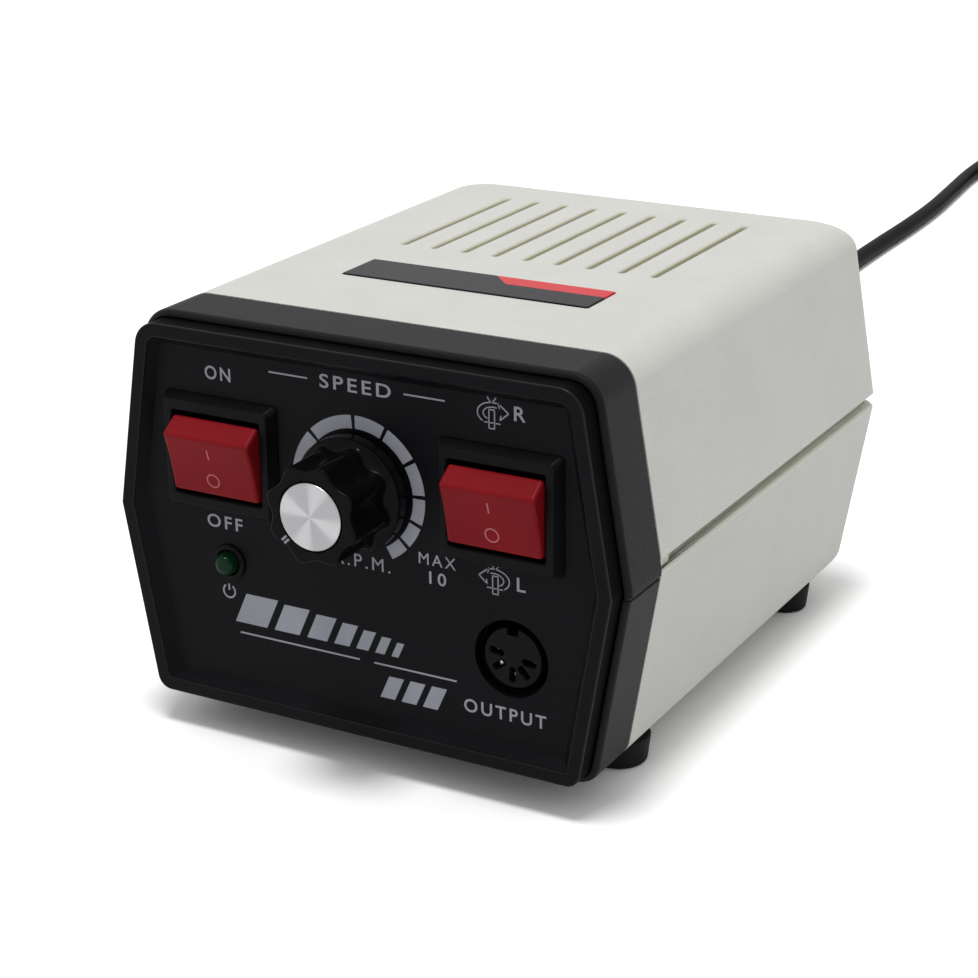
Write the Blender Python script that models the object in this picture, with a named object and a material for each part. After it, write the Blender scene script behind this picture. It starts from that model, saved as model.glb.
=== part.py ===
# Bench control box of a micromotor polisher, in metres, +Z up, front towards -Y.
# The origin is the centre of the box's footprint, on the surface that its feet stand on.
import math

import bmesh
import bpy
from mathutils import Matrix, Vector

MM = 0.001
UP = Vector((0, 0, 1))
BACK = Vector((0, 1, 0))
RIGHT = Vector((1, 0, 0))

# Fits and cuts
FIT = 0.3 * MM  # gap kept between pieces that touch
OVERRUN = 1.0 * MM  # how far a cutter passes the face that it cuts
HAIR = 0.02 * MM  # smallest radius that a corner keeps
ARC_STEPS = 4
SLOT_STEPS = 2
ROUND_SIDES = 24
SMALL_SIDES = 12
SMOOTH_ANGLE = math.radians(32)

# Case: six-sided in front view, widest at the parting line
CASE_HALF_MID = 61.0 * MM
CASE_HALF_TOP = 53.7 * MM
CASE_HALF_BOTTOM = 53.4 * MM
CASE_HEIGHT = 88.0 * MM
PARTING_HEIGHT = 44.5 * MM
CASE_LENGTH = 145.0 * MM  # front rim to rear wall
CASE_WALL = 2.0 * MM
TOP_RADIUS = 9.0 * MM
BOTTOM_RADIUS = 5.0 * MM
REAR_RADIUS = 7.0 * MM
GROOVE_HEIGHT = 3.7 * MM
TONGUE_WALL = 1.4 * MM
TONGUE_RISE = 2.0 * MM
TONGUE_ROOT = 6.0 * MM
TONGUE_ROOT_EXTRA = 1.2 * MM
FOOT_STAND = 6.5 * MM

# Collar round the front, in two halves
BEZEL_FRONT = 5.2 * MM  # behind the rim
BEZEL_BACK = 20.0 * MM
BEZEL_EDGE = 1.2 * MM
BEZEL_WALL = 1.3 * MM
BEZEL_STEP = 14.0 * MM
BEZEL_FLANGE = 4.0 * MM
BEZEL_TONGUE = 6.0 * MM
BEZEL_SEAM_DROP = 1.9 * MM  # seam of the two halves below the parting line

# Front panel
PANEL_INSET = BEZEL_WALL + FIT
PANEL_EDGE = 0.8 * MM
RIM_WIDTH = 2.7 * MM
RECESS_DEPTH = 2.8 * MM
RECESS_SLOPE = 3.0 * MM
PANEL_PLATE = 2.5 * MM
PANEL_SKIRT = 2.0 * MM

# Knob, its cap and its dial shaft
KNOB_STANDOUT = 16.0 * MM  # cap face ahead of the rim
KNOB_X = 0.0
KNOB_HEIGHT_SHARE = 0.6432  # of the case's height
KNOB_FRONT_RADIUS = 9.0 * MM
KNOB_BODY_RADIUS = 10.4 * MM
KNOB_SKIRT_RADIUS = 12.5 * MM
KNOB_SKIRT_LENGTH = 3.0 * MM
KNOB_PANEL_GAP = 1.5 * MM
KNOB_FLUTES = 8
KNOB_FLUTE_STEPS = 6
KNOB_FLUTE_DEPTH = 1.0 * MM
KNOB_FLUTE_FRONT_SHARE = 0.5
KNOB_FLUTE_EDGE_SHARE = 0.8
KNOB_EDGE = 0.9 * MM
KNOB_HOLLOW_RADIUS = 8.0 * MM
KNOB_HOLLOW_DEPTH = 4.3 * MM
KNOB_HUB_RADIUS = 5.2 * MM
KNOB_HUB_SHORT = 2.4 * MM
CAP_RADIUS = 7.2 * MM
CAP_THICK = 1.4 * MM
CAP_PROUD = 0.7 * MM
CAP_EDGE = 0.3 * MM
SHAFT_RADIUS = 3.0 * MM
SHAFT_LENGTH = 25.0 * MM
SHAFT_TIP_GAP = 3.6 * MM  # behind the cap's face
SET_SCREW_RADIUS = 1.3 * MM
SET_SCREW_LENGTH = 4.2 * MM
POT_RADIUS = 12.0 * MM
POT_DEPTH = 9.0 * MM
BUSH_RADIUS = 4.5 * MM
BUSH_LENGTH = 5.0 * MM
POT_NUT_RADIUS = 6.9 * MM
POT_NUT_THICK = 1.8 * MM
NUT_SIDES = 6
TAG_BLOCK_WIDTH = 14.0 * MM
TAG_BLOCK_HEIGHT = 3.0 * MM
TAG_BLOCK_THICK = 1.6 * MM
TAG_COUNT = 3
TAG_PITCH = 5.0 * MM
TAG_WIDTH = 1.6 * MM
TAG_THICK = 0.6 * MM
TAG_LENGTH = 8.0 * MM

# Rocker switches
SWITCH_X_SHARE = 0.5508  # of the case's half width
SWITCH_HEIGHT_SHARE = 0.6659  # of the case's height
FLANGE_WIDTH = 26.2 * MM
FLANGE_HEIGHT = 23.6 * MM
FLANGE_STAND = 2.6 * MM  # ahead of the panel face
FLANGE_DRAFT = 1.1 * MM
FLANGE_CORNER = 0.8 * MM
ROCKER_WIDTH = 21.5 * MM
ROCKER_SIDE_GAP = 0.4 * MM
ROCKER_FACE_HALF = 6.9 * MM
ROCKER_FACE_RISE = 6.0 * MM  # face ahead of the pivot
ROCKER_HEEL_HALF = 8.9 * MM
ROCKER_HEEL_RISE = 0.9 * MM
ROCKER_NOSE_HALF = 3.0 * MM
ROCKER_NOSE_DROP = 3.0 * MM
ROCKER_DISH = 0.35 * MM
ROCKER_TILT = math.radians(14)
PIVOT_DEPTH = 3.6 * MM  # behind the rim
PIVOT_RADIUS = 1.2 * MM
PIVOT_LENGTH = 0.9 * MM
WELL_GAP = 0.35 * MM
WELL_DEPTH = 5.2 * MM  # behind the pivot
SWITCH_WALL = 1.3 * MM
SWITCH_DEPTH = 14.5 * MM  # behind the panel face
SWITCH_BASE = 2.0 * MM
BLADE_WIDTH = 4.0 * MM
BLADE_THICK = 0.8 * MM
BLADE_LENGTH = 8.0 * MM
BLADE_PITCH = 7.0 * MM

# Indicator lamp
LED_X_SHARE = -0.5459
LED_HEIGHT_SHARE = 0.3898  # of the case's height
LED_RADIUS = 2.4 * MM
LED_LENGTH = 9.0 * MM
LED_DOME_RISE = 1.6 * MM  # dome base ahead of the panel face
HOLDER_FLANGE_RADIUS = 4.4 * MM
HOLDER_FLANGE_THICK = 0.8 * MM
HOLDER_RADIUS = 3.5 * MM
HOLDER_LENGTH = 7.0 * MM

# Output socket
SOCKET_X_SHARE = 0.5836
SOCKET_HEIGHT_SHARE = 0.5843  # of the parting height
SOCKET_HOLE_RADIUS = 8.5 * MM
SOCKET_BORE_RADIUS = 8.2 * MM
SOCKET_WALL = 1.4 * MM
SOCKET_DEPTH = 11.0 * MM
SOCKET_FLANGE_WIDTH = 31.0 * MM
SOCKET_FLANGE_HEIGHT = 21.0 * MM
SOCKET_FLANGE_THICK = 1.6 * MM
INSERT_RADIUS = 6.6 * MM
INSERT_RECESS = 0.6 * MM  # behind the panel face
KEY_WIDTH = 2.6 * MM
KEY_DEPTH = 1.7 * MM
CONTACT_COUNT = 5
CONTACT_ARC = math.radians(200)
CONTACT_PITCH_RADIUS = 4.3 * MM
CONTACT_HOLE_RADIUS = 0.95 * MM
CONTACT_RADIUS = 0.65 * MM
CONTACT_RECESS = 2.5 * MM
CONTACT_TAIL = 5.0 * MM
WAFER_RADIUS = 6.2 * MM
WAFER_THICK = 1.4 * MM
STAKE_HEAD_RADIUS = 2.2 * MM
STAKE_HEAD_THICK = 1.0 * MM

# Small screws
SCREW_RADIUS = 1.25 * MM
SCREW_HEAD_RADIUS = 2.4 * MM
SCREW_HEAD_THICK = 1.6 * MM
SCREW_LENGTH = 5.0 * MM
BOSS_RADIUS = 3.0 * MM

# Vents and the plate on top
VENT_COUNT = 9
VENT_PITCH = 8.0 * MM
VENT_WIDTH = 2.0 * MM
VENT_START_SHARE = 0.5172  # of the case's length
VENT_END_SHARE = 0.8759
PLATE_WIDTH = 60.8 * MM
PLATE_LENGTH = 13.5 * MM
PLATE_START_SHARE = 0.3207
PLATE_THICK = 0.6 * MM
PLATE_POCKET = 0.6 * MM
PLATE_CORNER = 0.6 * MM

# Feet, posts and the four long case screws
FOOT_X_SHARE = 0.8042  # of the mean of the widest and the underside's half widths
FOOT_FRONT_SHARE = 0.2172  # of the case's length
FOOT_REAR_SHARE = 0.8621
FOOT_RADIUS = 6.0 * MM
FOOT_TAPER = 0.6 * MM
FOOT_SEAT_RADIUS = 3.9 * MM
FOOT_SEAT_DEPTH = 4.6 * MM
POST_RADIUS = 4.5 * MM
POST_JOINT_SHARE = 0.764  # of the parting height
CASE_SCREW_RADIUS = 1.9 * MM
CASE_SCREW_HEAD_RADIUS = 3.6 * MM
CASE_SCREW_HEAD_THICK = 1.8 * MM
CASE_SCREW_BITE = 12.0 * MM

# Panel screws through the collar's tabs
TAB_X_SHARE = 0.824  # of the underside's half width
TAB_TOP_EDGE = 9.0 * MM  # below the top
TAB_BOTTOM_EDGE = 11.0 * MM  # above the underside
TAB_SIZE = 8.0 * MM
TAB_THICK = 2.0 * MM

# Transformer
CORE_WIDTH = 66.0 * MM
CORE_HEIGHT = 55.0 * MM
CORE_STACK = 26.0 * MM
CORE_LIMB = 11.0 * MM
CORE_REAR_SHARE = 0.7862  # rear face's place in the case's length
BOBBIN_WALL = 1.0 * MM
BOBBIN_FLANGE = 1.2 * MM
WINDING_REACH = 10.0 * MM
STRAP_THICK = 1.5 * MM
STRAP_WIDTH = 16.0 * MM
STRAP_FOOT = 10.0 * MM
STRAP_BOSS_HEIGHT = 4.0 * MM

# Circuit board and its parts
BOARD_WIDTH = 70.0 * MM
BOARD_LENGTH = 42.0 * MM
BOARD_THICK = 1.6 * MM
BOARD_STAND = 7.0 * MM
BOARD_FRONT_SHARE = 0.2207  # of the case's length
BOARD_HOLE_EDGE = 4.0 * MM
PILLAR_RADIUS = 2.8 * MM
CAN_RADIUS = 11.0 * MM
CAN_HEIGHT = 30.0 * MM
CAN_X = -18.0 * MM
CAN_GROOVE = 0.8 * MM
BRIDGE_WIDTH = 19.0 * MM
BRIDGE_THICK = 5.0 * MM
BRIDGE_HEIGHT = 15.0 * MM
BRIDGE_X = 4.0 * MM
SINK_WIDTH = 16.0 * MM
SINK_LENGTH = 28.0 * MM
SINK_HEIGHT = 25.0 * MM
SINK_PLATE = 3.0 * MM
SINK_FINS = 5
SINK_FIN = 1.4 * MM
SINK_X = 23.0 * MM
TRANSISTOR_WIDTH = 10.2 * MM
TRANSISTOR_HEIGHT = 15.6 * MM
TRANSISTOR_THICK = 4.4 * MM
BOARD_PEG_RISE = 1.5 * MM

# Rear fittings
FUSE_X_SHARE = 0.5056  # of the underside's half width
FUSE_HEIGHT_SHARE = 0.5843  # of the parting height
FUSE_BARREL_RADIUS = 6.0 * MM
FUSE_BORE_RADIUS = 4.4 * MM
FUSE_FLANGE_RADIUS = 8.0 * MM
FUSE_FLANGE_THICK = 2.0 * MM
FUSE_INSIDE = 22.0 * MM
FUSE_END_WALL = 2.0 * MM
FUSE_NUT_RADIUS = 8.6 * MM
FUSE_NUT_THICK = 3.0 * MM
CAP_STANDOUT = 9.0 * MM  # fuse cap's face behind the rear wall
FUSE_CAP_RADIUS = 6.2 * MM
FUSE_CAP_STEM = 6.0 * MM
FUSE_SLOT_SHARE = 0.7
FUSE_SLOT_WIDTH = 1.2 * MM
FUSE_SLOT_DEPTH = 1.6 * MM
FUSE_LINK_RADIUS = 2.6 * MM
JACK_X_SHARE = 0.0375
JACK_BORE_RADIUS = 3.3 * MM
JACK_BARREL_RADIUS = 4.6 * MM
JACK_STAND = 3.0 * MM
JACK_BODY_SIZE = 13.0 * MM
JACK_BODY_DEPTH = 13.0 * MM
JACK_BORE_DEPTH = 14.0 * MM
JACK_NUT_RADIUS = 6.6 * MM
JACK_NUT_THICK = 2.0 * MM

# Mains cord: strain relief, lead, coil, tie and plug
CORD_RADIUS = 3.0 * MM
CORD_X_SHARE = -0.6554
CORD_HEIGHT_SHARE = 0.5618
RELIEF_LENGTH = 34.0 * MM
RELIEF_ROOT_RADIUS = 6.0 * MM
RELIEF_TIP_RADIUS = 4.0 * MM
RELIEF_FLANGE_RADIUS = 7.5 * MM
RELIEF_FLANGE_THICK = 2.0 * MM
RELIEF_NECK_RADIUS = 5.0 * MM
RELIEF_INSIDE = 3.0 * MM
RELIEF_RIBS = 4
RELIEF_RIB_DEPTH = 0.8 * MM
RELIEF_RIB_SHARES = ((0.0, 0), (0.62, 0), (0.66, 1), (0.96, 1))  # place in a rib's pitch, and whether cut in
CORD_STEP = 12.0 * MM
COIL_X = -15.0 * MM
COIL_Y = 640.0 * MM  # behind the rim
COIL_MEAN_RADIUS = 33.0 * MM
COIL_GAP = 0.7 * MM
COIL_LAYER_TURNS = 3
COIL_POINTS = 24
COIL_LIFT = 1.0 * MM
TIE_THICK = 0.6 * MM
TIE_WIDTH = 5.0 * MM
TAIL_BEND = 34.0 * MM
TAIL_TURN = math.radians(45)
TAIL_POINTS = 6
PLUG_LENGTH = 38.0 * MM
PLUG_NECK_HALF = 7.0 * MM
PLUG_HALF = 18.0 * MM
PLUG_THICK = 19.4 * MM
PLUG_EDGE = 2.5 * MM
PIN_RADIUS = 2.4 * MM
PIN_SPACING = 19.0 * MM
PIN_LENGTH = 19.0 * MM
PIN_TIP_SHARE = 0.7

# Levels and planes that follow from the sizes above
RIM_Y = KNOB_STANDOUT - (KNOB_STANDOUT + CASE_LENGTH + CAP_STANDOUT) / 2
REAR_Y = RIM_Y + CASE_LENGTH
UNDERSIDE_Z = FOOT_STAND
MID_Z = UNDERSIDE_Z + PARTING_HEIGHT
TOP_Z = UNDERSIDE_Z + CASE_HEIGHT
FLOOR_Z = UNDERSIDE_Z + CASE_WALL
PANEL_Y = RIM_Y + RECESS_DEPTH
PANEL_BACK_Y = PANEL_Y + PANEL_PLATE
SHELL_FRONT_Y = RIM_Y + BEZEL_BACK + FIT / 2
BEZEL_REAR_Y = RIM_Y + BEZEL_BACK - FIT / 2
STEP_Y = RIM_Y + BEZEL_STEP
PANEL_END_Y = STEP_Y - FIT
GROOVE_TOP_Z = MID_Z + GROOVE_HEIGHT / 2
GROOVE_BOTTOM_Z = MID_Z - GROOVE_HEIGHT / 2
SEAM_Z = MID_Z - BEZEL_SEAM_DROP
KNOB_Z = UNDERSIDE_Z + CASE_HEIGHT * KNOB_HEIGHT_SHARE
SWITCH_X = CASE_HALF_MID * SWITCH_X_SHARE
SWITCH_Z = UNDERSIDE_Z + CASE_HEIGHT * SWITCH_HEIGHT_SHARE
PIVOT_Y = RIM_Y + PIVOT_DEPTH
LED_X = CASE_HALF_MID * LED_X_SHARE
LED_Z = UNDERSIDE_Z + CASE_HEIGHT * LED_HEIGHT_SHARE
SOCKET_X = CASE_HALF_MID * SOCKET_X_SHARE
SOCKET_Z = UNDERSIDE_Z + PARTING_HEIGHT * SOCKET_HEIGHT_SHARE
FUSE_X = CASE_HALF_BOTTOM * FUSE_X_SHARE
FUSE_Z = UNDERSIDE_Z + PARTING_HEIGHT * FUSE_HEIGHT_SHARE
JACK_X = CASE_HALF_BOTTOM * JACK_X_SHARE
JACK_Z = FUSE_Z
CORD_X = CASE_HALF_BOTTOM * CORD_X_SHARE
CORD_Z = UNDERSIDE_Z + PARTING_HEIGHT * CORD_HEIGHT_SHARE
POST_Z = UNDERSIDE_Z + PARTING_HEIGHT * POST_JOINT_SHARE
FOOT_X = (CASE_HALF_MID + CASE_HALF_BOTTOM) / 2 * FOOT_X_SHARE
TAB_X = CASE_HALF_BOTTOM * TAB_X_SHARE
BOARD_Y = RIM_Y + CASE_LENGTH * BOARD_FRONT_SHARE
CORE_Y = RIM_Y + CASE_LENGTH * CORE_REAR_SHARE - CORE_STACK / 2
VENT_START_Y = RIM_Y + CASE_LENGTH * VENT_START_SHARE
VENT_END_Y = RIM_Y + CASE_LENGTH * VENT_END_SHARE
PLATE_Y = RIM_Y + CASE_LENGTH * PLATE_START_SHARE + PLATE_LENGTH / 2
REAR_INSIDE_Y = REAR_Y - CASE_WALL

# The lead's route, chosen by hand: x, distance behind the rim, height of the centreline
CORD_ROUTE = [
    (-35.0, 179.3, 31.5), (-35.0, 185.0, 31.5), (-35.0, 192.0, 31.1), (-35.0, 203.0, 28.0),
    (-35.2, 215.0, 22.1), (-35.6, 227.0, 15.4), (-36.2, 240.0, 9.15), (-37.2, 254.0, 4.75),
    (-38.6, 270.0, 3.15), (-40.6, 292.0, 3.05), (-43.6, 320.0, 3.05), (-47.0, 352.0, 3.05),
    (-50.2, 388.0, 3.05), (-52.4, 425.0, 3.05), (-53.2, 460.0, 3.05), (-53.4, 495.0, 3.05),
    (-54.6, 528.0, 3.05), (-57.4, 560.0, 3.05), (-60.0, 588.0, 3.05), (-60.8, 610.0, 3.3),
    (-59.2, 627.0, 3.9), (-57.9, 634.0, 4.0), (-57.9, 639.4, 4.0),
]


def clear_scene():
    for old in list(bpy.data.objects):
        bpy.data.objects.remove(old, do_unlink=True)


def finish(name, color, roughness, metallic=0.0):
    """Principled material of one piece."""
    made = bpy.data.materials.new(name)
    made.use_nodes = True
    shader = made.node_tree.nodes["Principled BSDF"]
    shader.inputs["Base Color"].default_value = (*color, 1)
    shader.inputs["Roughness"].default_value = roughness
    shader.inputs["Metallic"].default_value = metallic
    return made


def place(name, bm, look=None):
    """Object from a bmesh, its faces turned outwards."""
    bmesh.ops.recalc_face_normals(bm, faces=bm.faces)
    mesh = bpy.data.meshes.new(name)
    bm.to_mesh(mesh)
    bm.free()
    obj = bpy.data.objects.new(name, mesh)
    bpy.context.scene.collection.objects.link(obj)
    if look:
        mesh.materials.append(look)
    return obj


def solid(name, look, base, add=(), cut=()):
    """Body with other shapes joined to it, then cut from it."""
    obj = place(name, base, look)
    tools = []
    for operation, shapes in (("UNION", add), ("DIFFERENCE", cut)):
        for shape in shapes:
            tool = place("tool", shape)
            step = obj.modifiers.new(operation, "BOOLEAN")
            step.operation = operation
            step.solver = "EXACT"
            step.object = tool
            tools.append(tool)
    if tools:
        bpy.context.view_layer.update()
        shaped = obj.evaluated_get(bpy.context.evaluated_depsgraph_get())
        mesh = bpy.data.meshes.new_from_object(shaped)
        obj.modifiers.clear()
        mesh.name = name
        mesh.materials.clear()
        mesh.materials.append(look)
        obj.data = mesh
        for tool in tools:
            bpy.data.objects.remove(tool, do_unlink=True)
    obj.data.shade_smooth()
    obj.data.set_sharp_from_angle(angle=SMOOTH_ANGLE)
    return obj


def mesh_of(rings, closed_ends=True):
    """Bmesh through rings of points, one after another."""
    bm = bmesh.new()
    rows = [[bm.verts.new(point) for point in ring] for ring in rings]
    count = len(rows[0])
    for low, high in zip(rows, rows[1:]):
        for i in range(count):
            j = (i + 1) % count
            bm.faces.new((low[i], low[j], high[j], high[i]))
    if closed_ends:
        bm.faces.new(rows[0][::-1])
        bm.faces.new(rows[-1])
    return bm


def merged(shapes):
    """One bmesh from several."""
    total = bmesh.new()
    for shape in shapes:
        mesh = bpy.data.meshes.new("part")
        shape.to_mesh(mesh)
        shape.free()
        total.from_mesh(mesh)
        bpy.data.meshes.remove(mesh)
    return total


def rounded(corners, radii, steps=ARC_STEPS):
    """Closed outline whose corners are arcs; a radius of None keeps a corner sharp."""
    points = []
    count = len(corners)
    for i, (corner, radius) in enumerate(zip(corners, radii)):
        here = Vector(corner)
        if radius is None:
            points.append(tuple(here))
            continue
        before = (Vector(corners[i - 1]) - here).normalized()
        after = (Vector(corners[(i + 1) % count]) - here).normalized()
        half = before.angle(after) / 2
        centre = here + (before + after).normalized() * (radius / math.sin(half))
        start = here + before * (radius / math.tan(half)) - centre
        end = here + after * (radius / math.tan(half)) - centre
        sweep = start.angle(end) / steps
        turn = math.copysign(sweep, start.x * end.y - start.y * end.x)
        for k in range(steps + 1):
            points.append(tuple(centre + Matrix.Rotation(turn * k, 2) @ start))
    return points


def rectangle(half_u, half_v, radius=None, u=0.0, v=0.0, steps=ARC_STEPS):
    corners = [(u - half_u, v - half_v), (u + half_u, v - half_v)]
    corners += [(u + half_u, v + half_v), (u - half_u, v + half_v)]
    return rounded(corners, [radius] * len(corners), steps)


def circle(radius, u=0.0, v=0.0, sides=ROUND_SIDES):
    turns = [math.tau * k / sides for k in range(sides)]
    return [(u + radius * math.cos(a), v + radius * math.sin(a)) for a in turns]


def along_y(outlines, stations):
    """Loft of (x, z) outlines at stations along Y."""
    return mesh_of([[(u, y, v) for u, v in line] for line, y in zip(outlines, stations)])


def along_z(outlines, stations):
    """Loft of (x, y) outlines at stations along Z."""
    return mesh_of([[(u, v, z) for u, v in line] for line, z in zip(outlines, stations)])


def prism_y(outline, low, high):
    return along_y([outline, outline], [low, high])


def prism_z(outline, low, high):
    return along_z([outline, outline], [low, high])


def box(low, high):
    outline = [(low[0], low[1]), (high[0], low[1]), (high[0], high[1]), (low[0], high[1])]
    return prism_z(outline, low[2], high[2])


def turned(profile, centre, axis=BACK, sides=ROUND_SIDES):
    """Turned body from (radius, distance) points; a profile that starts and ends off the axis is a ring."""
    turn = UP.rotation_difference(axis).to_matrix()
    bm = bmesh.new()
    rows = []
    for radius, distance in profile:
        ring = circle(radius, sides=sides) if radius > 0 else [(0.0, 0.0)]
        rows.append([bm.verts.new(Vector(centre) + turn @ Vector((u, v, distance))) for u, v in ring])
    hollow = len(rows[0]) > 1 and len(rows[-1]) > 1
    pairs = list(zip(rows, rows[1:])) + ([(rows[-1], rows[0])] if hollow else [])
    for low, high in pairs:
        for i in range(sides):
            j = (i + 1) % sides
            corners = [low[i % len(low)], low[j % len(low)], high[j % len(high)], high[i % len(high)]]
            bm.faces.new(list(dict.fromkeys(corners)))
    return bm


def cylinder(radius, centre, axis, length, sides=ROUND_SIDES):
    return turned([(0.0, 0.0), (radius, 0.0), (radius, length), (0.0, length)], centre, axis, sides)


def bevelled_stations(start, edge, steps=3):
    """Distances and insets that round an edge which starts at a face."""
    angles = [math.pi / 2 * k / steps for k in range(steps + 1)]
    return [(start + edge * (1 - math.cos(a)), edge * (1 - math.sin(a))) for a in angles]


def half_outline(top, inset, cut_z):
    """Front view of one half of the case, its outer faces moved in by inset, closed at cut_z."""
    sign = 1 if top else -1
    end_z = TOP_Z if top else UNDERSIDE_Z
    end_half = CASE_HALF_TOP if top else CASE_HALF_BOTTOM
    radius = max((TOP_RADIUS if top else BOTTOM_RADIUS) - inset, HAIR)
    lean = (CASE_HALF_MID - end_half) / abs(end_z - MID_Z)
    shift = inset * math.hypot(1, lean)
    flat_z = end_z - sign * inset

    def half(z):
        return CASE_HALF_MID - lean * sign * (z - MID_Z) - shift

    corners = [(half(flat_z), flat_z), (-half(flat_z), flat_z)]
    radii = [radius, radius]
    if sign * (cut_z - MID_Z) < 0:  # past the widest line the sides run straight down to the cut
        corners = [(half(MID_Z), MID_Z)] + corners + [(-half(MID_Z), MID_Z)]
        radii = [None] + radii + [None]
    end_u = corners[0][0] if len(corners) > 2 else half(cut_z)
    return rounded([(end_u, cut_z)] + corners + [(-end_u, cut_z)], [None] + radii + [None])


def full_outline(inset):
    """Front view of the whole case, all faces moved in by inset."""
    upper = half_outline(True, inset, MID_Z)
    lower = half_outline(False, inset, MID_Z)
    return upper + lower[-2:0:-1]


def case_block(top, inset, cut_z, front_y, rear_y, rear_radius):
    """Half of the case as a solid block with a rounded rear edge."""
    steps = ARC_STEPS
    stations = [front_y]
    outlines = [half_outline(top, inset, cut_z)]
    for k in range(steps + 1):
        angle = math.pi / 2 * k / steps
        stations.append(rear_y - rear_radius + rear_radius * math.sin(angle))
        outlines.append(half_outline(top, inset + rear_radius * (1 - math.cos(angle)), cut_z))
    return along_y(outlines, stations)


def inner_half(z, top=True):
    """Half width inside the case wall at a height."""
    return max(u for u, v in half_outline(top, CASE_WALL, z) if abs(v - z) < FIT)


def plan_block(half_x, front_y, rear_y, radius, low, high):
    corners = [(-half_x, front_y), (half_x, front_y), (half_x, rear_y), (-half_x, rear_y)]
    return prism_z(rounded(corners, [None, None, radius, radius]), low, high)


def foot_places():
    rows = [RIM_Y + CASE_LENGTH * share for share in (FOOT_FRONT_SHARE, FOOT_REAR_SHARE)]
    return [(x, y) for y in rows for x in (-FOOT_X, FOOT_X)]


def board_holes():
    reach = BOARD_WIDTH / 2 - BOARD_HOLE_EDGE
    front = BOARD_Y + BOARD_HOLE_EDGE
    rear = BOARD_Y + BOARD_LENGTH - BOARD_HOLE_EDGE
    return [(x, y) for y in (front, rear) for x in (-reach, reach)]


def strap_holes():
    reach = CORE_WIDTH / 2 + FIT + STRAP_THICK + STRAP_FOOT / 2
    return [(x, CORE_Y) for x in (-reach, reach)]


def tab_places():
    levels = (UNDERSIDE_Z + TAB_BOTTOM_EDGE, TOP_Z - TAB_TOP_EDGE)
    return [(x, z) for z in levels for x in (-TAB_X, TAB_X)]


def screw(place_at, axis, length, radius=SCREW_RADIUS, head=SCREW_HEAD_RADIUS, thick=SCREW_HEAD_THICK):
    """Screw with a domed head, its head's underside at a place and its shank along the axis."""
    profile = [(0.0, -thick), (head - thick / 2, -thick), (head, -thick / 2), (head, 0.0)]
    profile += [(radius, 0.0), (radius, length), (0.0, length)]
    return turned(profile, place_at, axis, SMALL_SIDES)


def make_top_cover(look):
    outer = case_block(True, 0.0, GROOVE_TOP_Z, SHELL_FRONT_Y, REAR_Y, REAR_RADIUS)
    inner = case_block(
        True, CASE_WALL, GROOVE_TOP_Z - OVERRUN, SHELL_FRONT_Y - OVERRUN, REAR_INSIDE_Y, REAR_RADIUS - CASE_WALL
    )
    ceiling = TOP_Z - CASE_WALL / 2
    posts = merged([prism_z(circle(POST_RADIUS, x, y), POST_Z + FIT, ceiling) for x, y in foot_places()])
    hole = CASE_SCREW_RADIUS + FIT
    holes = merged([
        prism_z(circle(hole, x, y, SMALL_SIDES), POST_Z - OVERRUN, POST_Z + CASE_SCREW_BITE + OVERRUN)
        for x, y in foot_places()
    ])
    vents = []
    for k in range(VENT_COUNT):
        x = (k - (VENT_COUNT - 1) / 2) * VENT_PITCH
        middle = (VENT_START_Y + VENT_END_Y) / 2
        reach = (VENT_END_Y - VENT_START_Y) / 2
        slot = rectangle(VENT_WIDTH / 2, reach, VENT_WIDTH / 2 - HAIR, x, middle, SLOT_STEPS)
        vents.append(prism_z(slot, TOP_Z - CASE_WALL - OVERRUN, TOP_Z + OVERRUN))
    seat = rectangle(PLATE_WIDTH / 2 + FIT, PLATE_LENGTH / 2 + FIT, PLATE_CORNER + FIT, 0.0, PLATE_Y)
    pocket = prism_z(seat, TOP_Z - PLATE_POCKET, TOP_Z + OVERRUN)
    shell = solid("top_cover", look, outer, cut=[inner])
    shell = rework(shell, add=[posts])
    return rework(shell, cut=[holes, merged(vents), pocket])


def rework(obj, add=(), cut=()):
    """The same object after more shapes are joined to it or cut from it."""
    look = obj.data.materials[0]
    name = obj.name
    bm = bmesh.new()
    bm.from_mesh(obj.data)
    bpy.data.objects.remove(obj, do_unlink=True)
    return solid(name, look, bm, add, cut)


def tongue_top_z():
    return GROOVE_TOP_Z + TONGUE_RISE


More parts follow.
